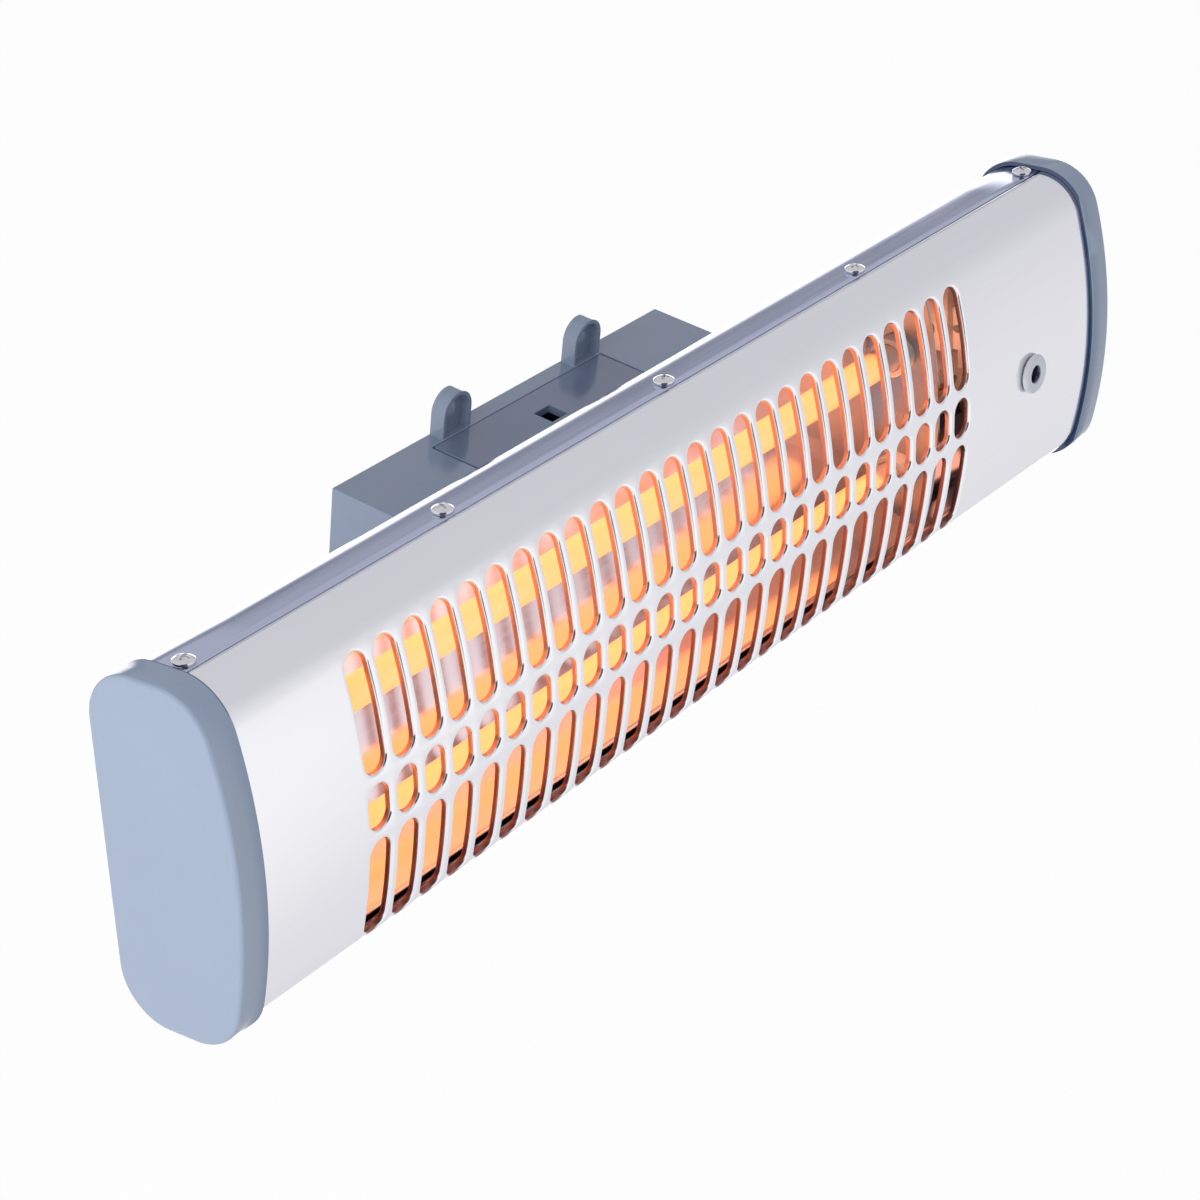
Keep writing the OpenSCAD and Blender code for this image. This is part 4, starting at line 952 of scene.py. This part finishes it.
# Studio. A plain pale floor well below the heater, soft lamps and a pale room all round.
# The room is white where it is seen, and its soft grey bands are what the metal mirrors.
FLOOR_Z = -0.25
FLOOR_HALF = 4.0
FLOOR_PALE = (0.9, 0.9, 0.9, 1)
FLOOR_WHITE_SHARE = 0.97
floor_corners = FLOOR_HALF * np.array([[-1, -1, 0], [1, -1, 0], [1, 1, 0], [-1, 1, 0]]) + [0, 0, FLOOR_Z]
floor_mesh = bpy.data.meshes.new("floor")
floor_mesh.from_pydata(floor_corners.tolist(), [], [[0, 1, 2, 3]])
floor = bpy.data.objects.new("floor", floor_mesh)
bpy.context.scene.collection.objects.link(floor)
floor.visible_glossy = False
pale = bpy.data.materials.new("pale_floor")
pale.use_nodes = True
floor_tree = pale.node_tree
floor_tree.nodes.clear()
floor_rays = put(floor_tree, "ShaderNodeLightPath").outputs
floor_seen = sums(floor_tree, "MAXIMUM", floor_rays["Is Camera Ray"], floor_rays["Is Transmission Ray"])
matt = put(floor_tree, "ShaderNodeBsdfDiffuse", {"Color": FLOOR_PALE}).outputs[0]
shining = put(floor_tree, "ShaderNodeEmission", {"Color": WHITE, "Strength": 1.0}).outputs[0]
white_share = sums(floor_tree, "MULTIPLY", floor_seen, FLOOR_WHITE_SHARE)
mixed = put(floor_tree, "ShaderNodeMixShader", {0: white_share, 1: matt, 2: shining}).outputs[0]
put(floor_tree, "ShaderNodeOutputMaterial", {"Surface": mixed})
floor_mesh.materials.append(pale)

room = bpy.data.worlds.new("room")
room.use_nodes = True
bpy.context.scene.world = room
room_tree = room.node_tree
room_tree.nodes.clear()
look = put(room_tree, "ShaderNodeTexCoord").outputs["Generated"]
axes = put(room_tree, "ShaderNodeSeparateXYZ", {0: look}).outputs
height = sums(room_tree, "DEGREES", sums(room_tree, "ARCSINE", axes["Z"]))
heading = sums(room_tree, "DEGREES", sums(room_tree, "ARCTAN2", axes["X"], axes["Y"]))


def bands(value, low, high, stops):
    """Soft bands: a ramp over a value that runs from low to high, with its grey levels at given places."""
    share = put(room_tree, "ShaderNodeMapRange", {"Value": value, "From Min": low, "From Max": high})
    ramp = put(room_tree, "ShaderNodeValToRGB", {0: share.outputs[0]})
    ramp.color_ramp.interpolation = "B_SPLINE"
    elements = ramp.color_ramp.elements
    while len(elements) < len(stops):
        elements.new(0.5)
    for element, (at, grey) in zip(elements, stops):
        element.position = (at - low) / (high - low)
        element.color = (grey, grey, grey, 1)
    return ramp.outputs[0]


def card(left, right, low, high, soft):
    """One inside a part of the room between two headings and two heights in degrees, with soft edges, and
    zero outside it: the product of a smooth step at each edge."""
    edges = ((heading, left, soft), (heading, right, -soft), (height, low, soft), (height, high, -soft))
    steps = [
        put(room_tree, "ShaderNodeMapRange", {
            "Value": value, "From Min": edge, "From Max": edge + inwards,
        }, interpolation_type="SMOOTHSTEP").outputs[0]
        for value, edge, inwards in edges
    ]
    across_and_up = (sums(room_tree, "MULTIPLY", *steps[:2]), sums(room_tree, "MULTIPLY", *steps[2:]))
    return sums(room_tree, "MULTIPLY", *across_and_up)


# A card's numbers are its left and right heading, its low and high edge and its softness, in degrees.
LEFT_SIDE_LIGHT = 0.32
WINDOWS = ((20, 80, -52, 6, 5), (53, 84, -20, 13, 4))
WINDOW_LIGHT = 1.3
SHADES = (((12, 84, 6, 21, 4), 0.5), ((-168, -92, -12, 66, 9), 0.93))
COOL = (0.95, 0.95, 1.08, 1)
SKY = (0.9, 0.97, 1.1, 1)
SKY_STRENGTH = 0.38
mirrored = bands(height, -90, 90, [
    (-90, 0.74), (-50, 0.76), (-36, 0.79), (-20, 0.82), (-8, 0.74),
    (0, 0.7), (14, 0.68), (32, 0.62), (48, 0.66), (90, 0.64),
])
side_share = bands(heading, -180, 180, [(-180, 1), (-60, 1), (20, 0), (130, 0), (140, 1), (180, 1)])
height_share = bands(height, -90, 90, [
    (-90, 0.1), (-46, 0.3), (-20, 0.6), (-7, 1), (0, 1), (8, 0.55), (25, 0.5), (90, 0.1),
])
left_side = sums(room_tree, "MULTIPLY", side_share, height_share)
mirrored = sums(room_tree, "MULTIPLY_ADD", left_side, LEFT_SIDE_LIGHT, mirrored)
window = sums(room_tree, "MAXIMUM", *(card(*place) for place in WINDOWS))
mirrored = sums(room_tree, "MULTIPLY_ADD", window, WINDOW_LIGHT, mirrored)
for place, darkness in SHADES:
    kept = sums(room_tree, "MULTIPLY_ADD", card(*place), -darkness, 1.0)
    mirrored = sums(room_tree, "MULTIPLY", mirrored, kept)
tinted = blend(room_tree, mirrored, COOL, WHITE)
rays = put(room_tree, "ShaderNodeLightPath").outputs
glossy = put(room_tree, "ShaderNodeBackground", {"Color": tinted, "Strength": mirrored}).outputs[0]
sky = put(room_tree, "ShaderNodeBackground", {"Color": SKY, "Strength": SKY_STRENGTH}).outputs[0]
backdrop = put(room_tree, "ShaderNodeBackground", {"Color": WHITE, "Strength": 1.0}).outputs[0]
lit = put(room_tree, "ShaderNodeMixShader", {0: rays["Is Glossy Ray"], 1: sky, 2: glossy}).outputs[0]
seen = sums(room_tree, "MAXIMUM", rays["Is Camera Ray"], rays["Is Transmission Ray"])
shown = put(room_tree, "ShaderNodeMixShader", {0: seen, 1: lit, 2: backdrop}).outputs[0]
put(room_tree, "ShaderNodeOutputWorld", {"Surface": shown})


def new_lamp(name, kind, watts, place, turns):
    """Lamp at its place in metres, turned about the three axes in radians and hidden from glossy surfaces."""
    lamp = bpy.data.objects.new(name, bpy.data.lights.new(name, kind))
    lamp.data.energy = watts
    lamp.location = place
    lamp.rotation_euler = turns
    lamp.visible_glossy = False
    bpy.context.scene.collection.objects.link(lamp)
    return lamp


LEFT_WATTS = 15.0
LEFT_PLACE = (-1.6, -0.3, 0.4)
LEFT_TURNS = (math.radians(76), 0, math.radians(-82))
LEFT_SIZE = 1.4
new_lamp("left_lamp", "AREA", LEFT_WATTS, LEFT_PLACE, LEFT_TURNS).data.size = LEFT_SIZE

# Inside the casing two points and a panel at the right cap stand for the tubes' glow on the parts beside
# them. Only the panel shows in glossy surfaces.
INNER_GLOW = (1, 0.36, 0.2)
POINT_R = 5 * MM
PANEL_SIDES = (0.078, 0.024)
for name, kind, watts, place in (
    ("glow_on_holders", "POINT", 0.014, (121, -10, 2)),
    ("glow_on_switch", "POINT", 0.013, (158, 2, 8)),
    ("glow_from_cap", "AREA", 0.011, (222, 0, 0)),
):
    row_place = casing_to_row(np.array(place, float)).tolist()
    inner = new_lamp(name, kind, watts, row_place, (-LEAN, math.radians(90), 0))
    inner.data.color = INNER_GLOW
    inner.visible_camera = False
    if kind == "AREA":
        inner.data.shape = "RECTANGLE"
        inner.data.size, inner.data.size_y = PANEL_SIDES
        inner.visible_glossy = True
    else:
        inner.data.shadow_soft_size = POINT_R
    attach(inner, "heater")

# Camera. It stands 1.09 m from the casing's middle, to the left and above, with a long lens.
# It looks down and along the heater, and is turned a little about its own line of sight.
HEADING = math.radians(56.4206)
DOWN = math.radians(32.1276)
ROLL = math.radians(5.8026)
CAMERA_PLACE = (-0.793757, -0.570457, 0.528670)
ahead = np.array([math.sin(HEADING) * math.cos(DOWN), math.cos(HEADING) * math.cos(DOWN), -math.sin(DOWN)])
sideways = np.array([math.cos(HEADING), -math.sin(HEADING), 0])
right = sideways * math.cos(ROLL) + np.cross(sideways, ahead) * math.sin(ROLL)
camera_data = bpy.data.cameras.new("camera")
camera_data.lens = 102.375
camera_data.sensor_width = 36
camera_data.clip_start = 0.01
camera = bpy.data.objects.new("camera", camera_data)
placed = np.eye(4)
placed[:3, 0], placed[:3, 1], placed[:3, 2] = right, np.cross(right, ahead), -ahead
placed[:3, 3] = CAMERA_PLACE
bpy.context.scene.collection.objects.link(camera)
camera.matrix_world = Matrix(placed.tolist())
bpy.context.scene.camera = camera
bpy.context.scene.view_settings.view_transform = "Standard"
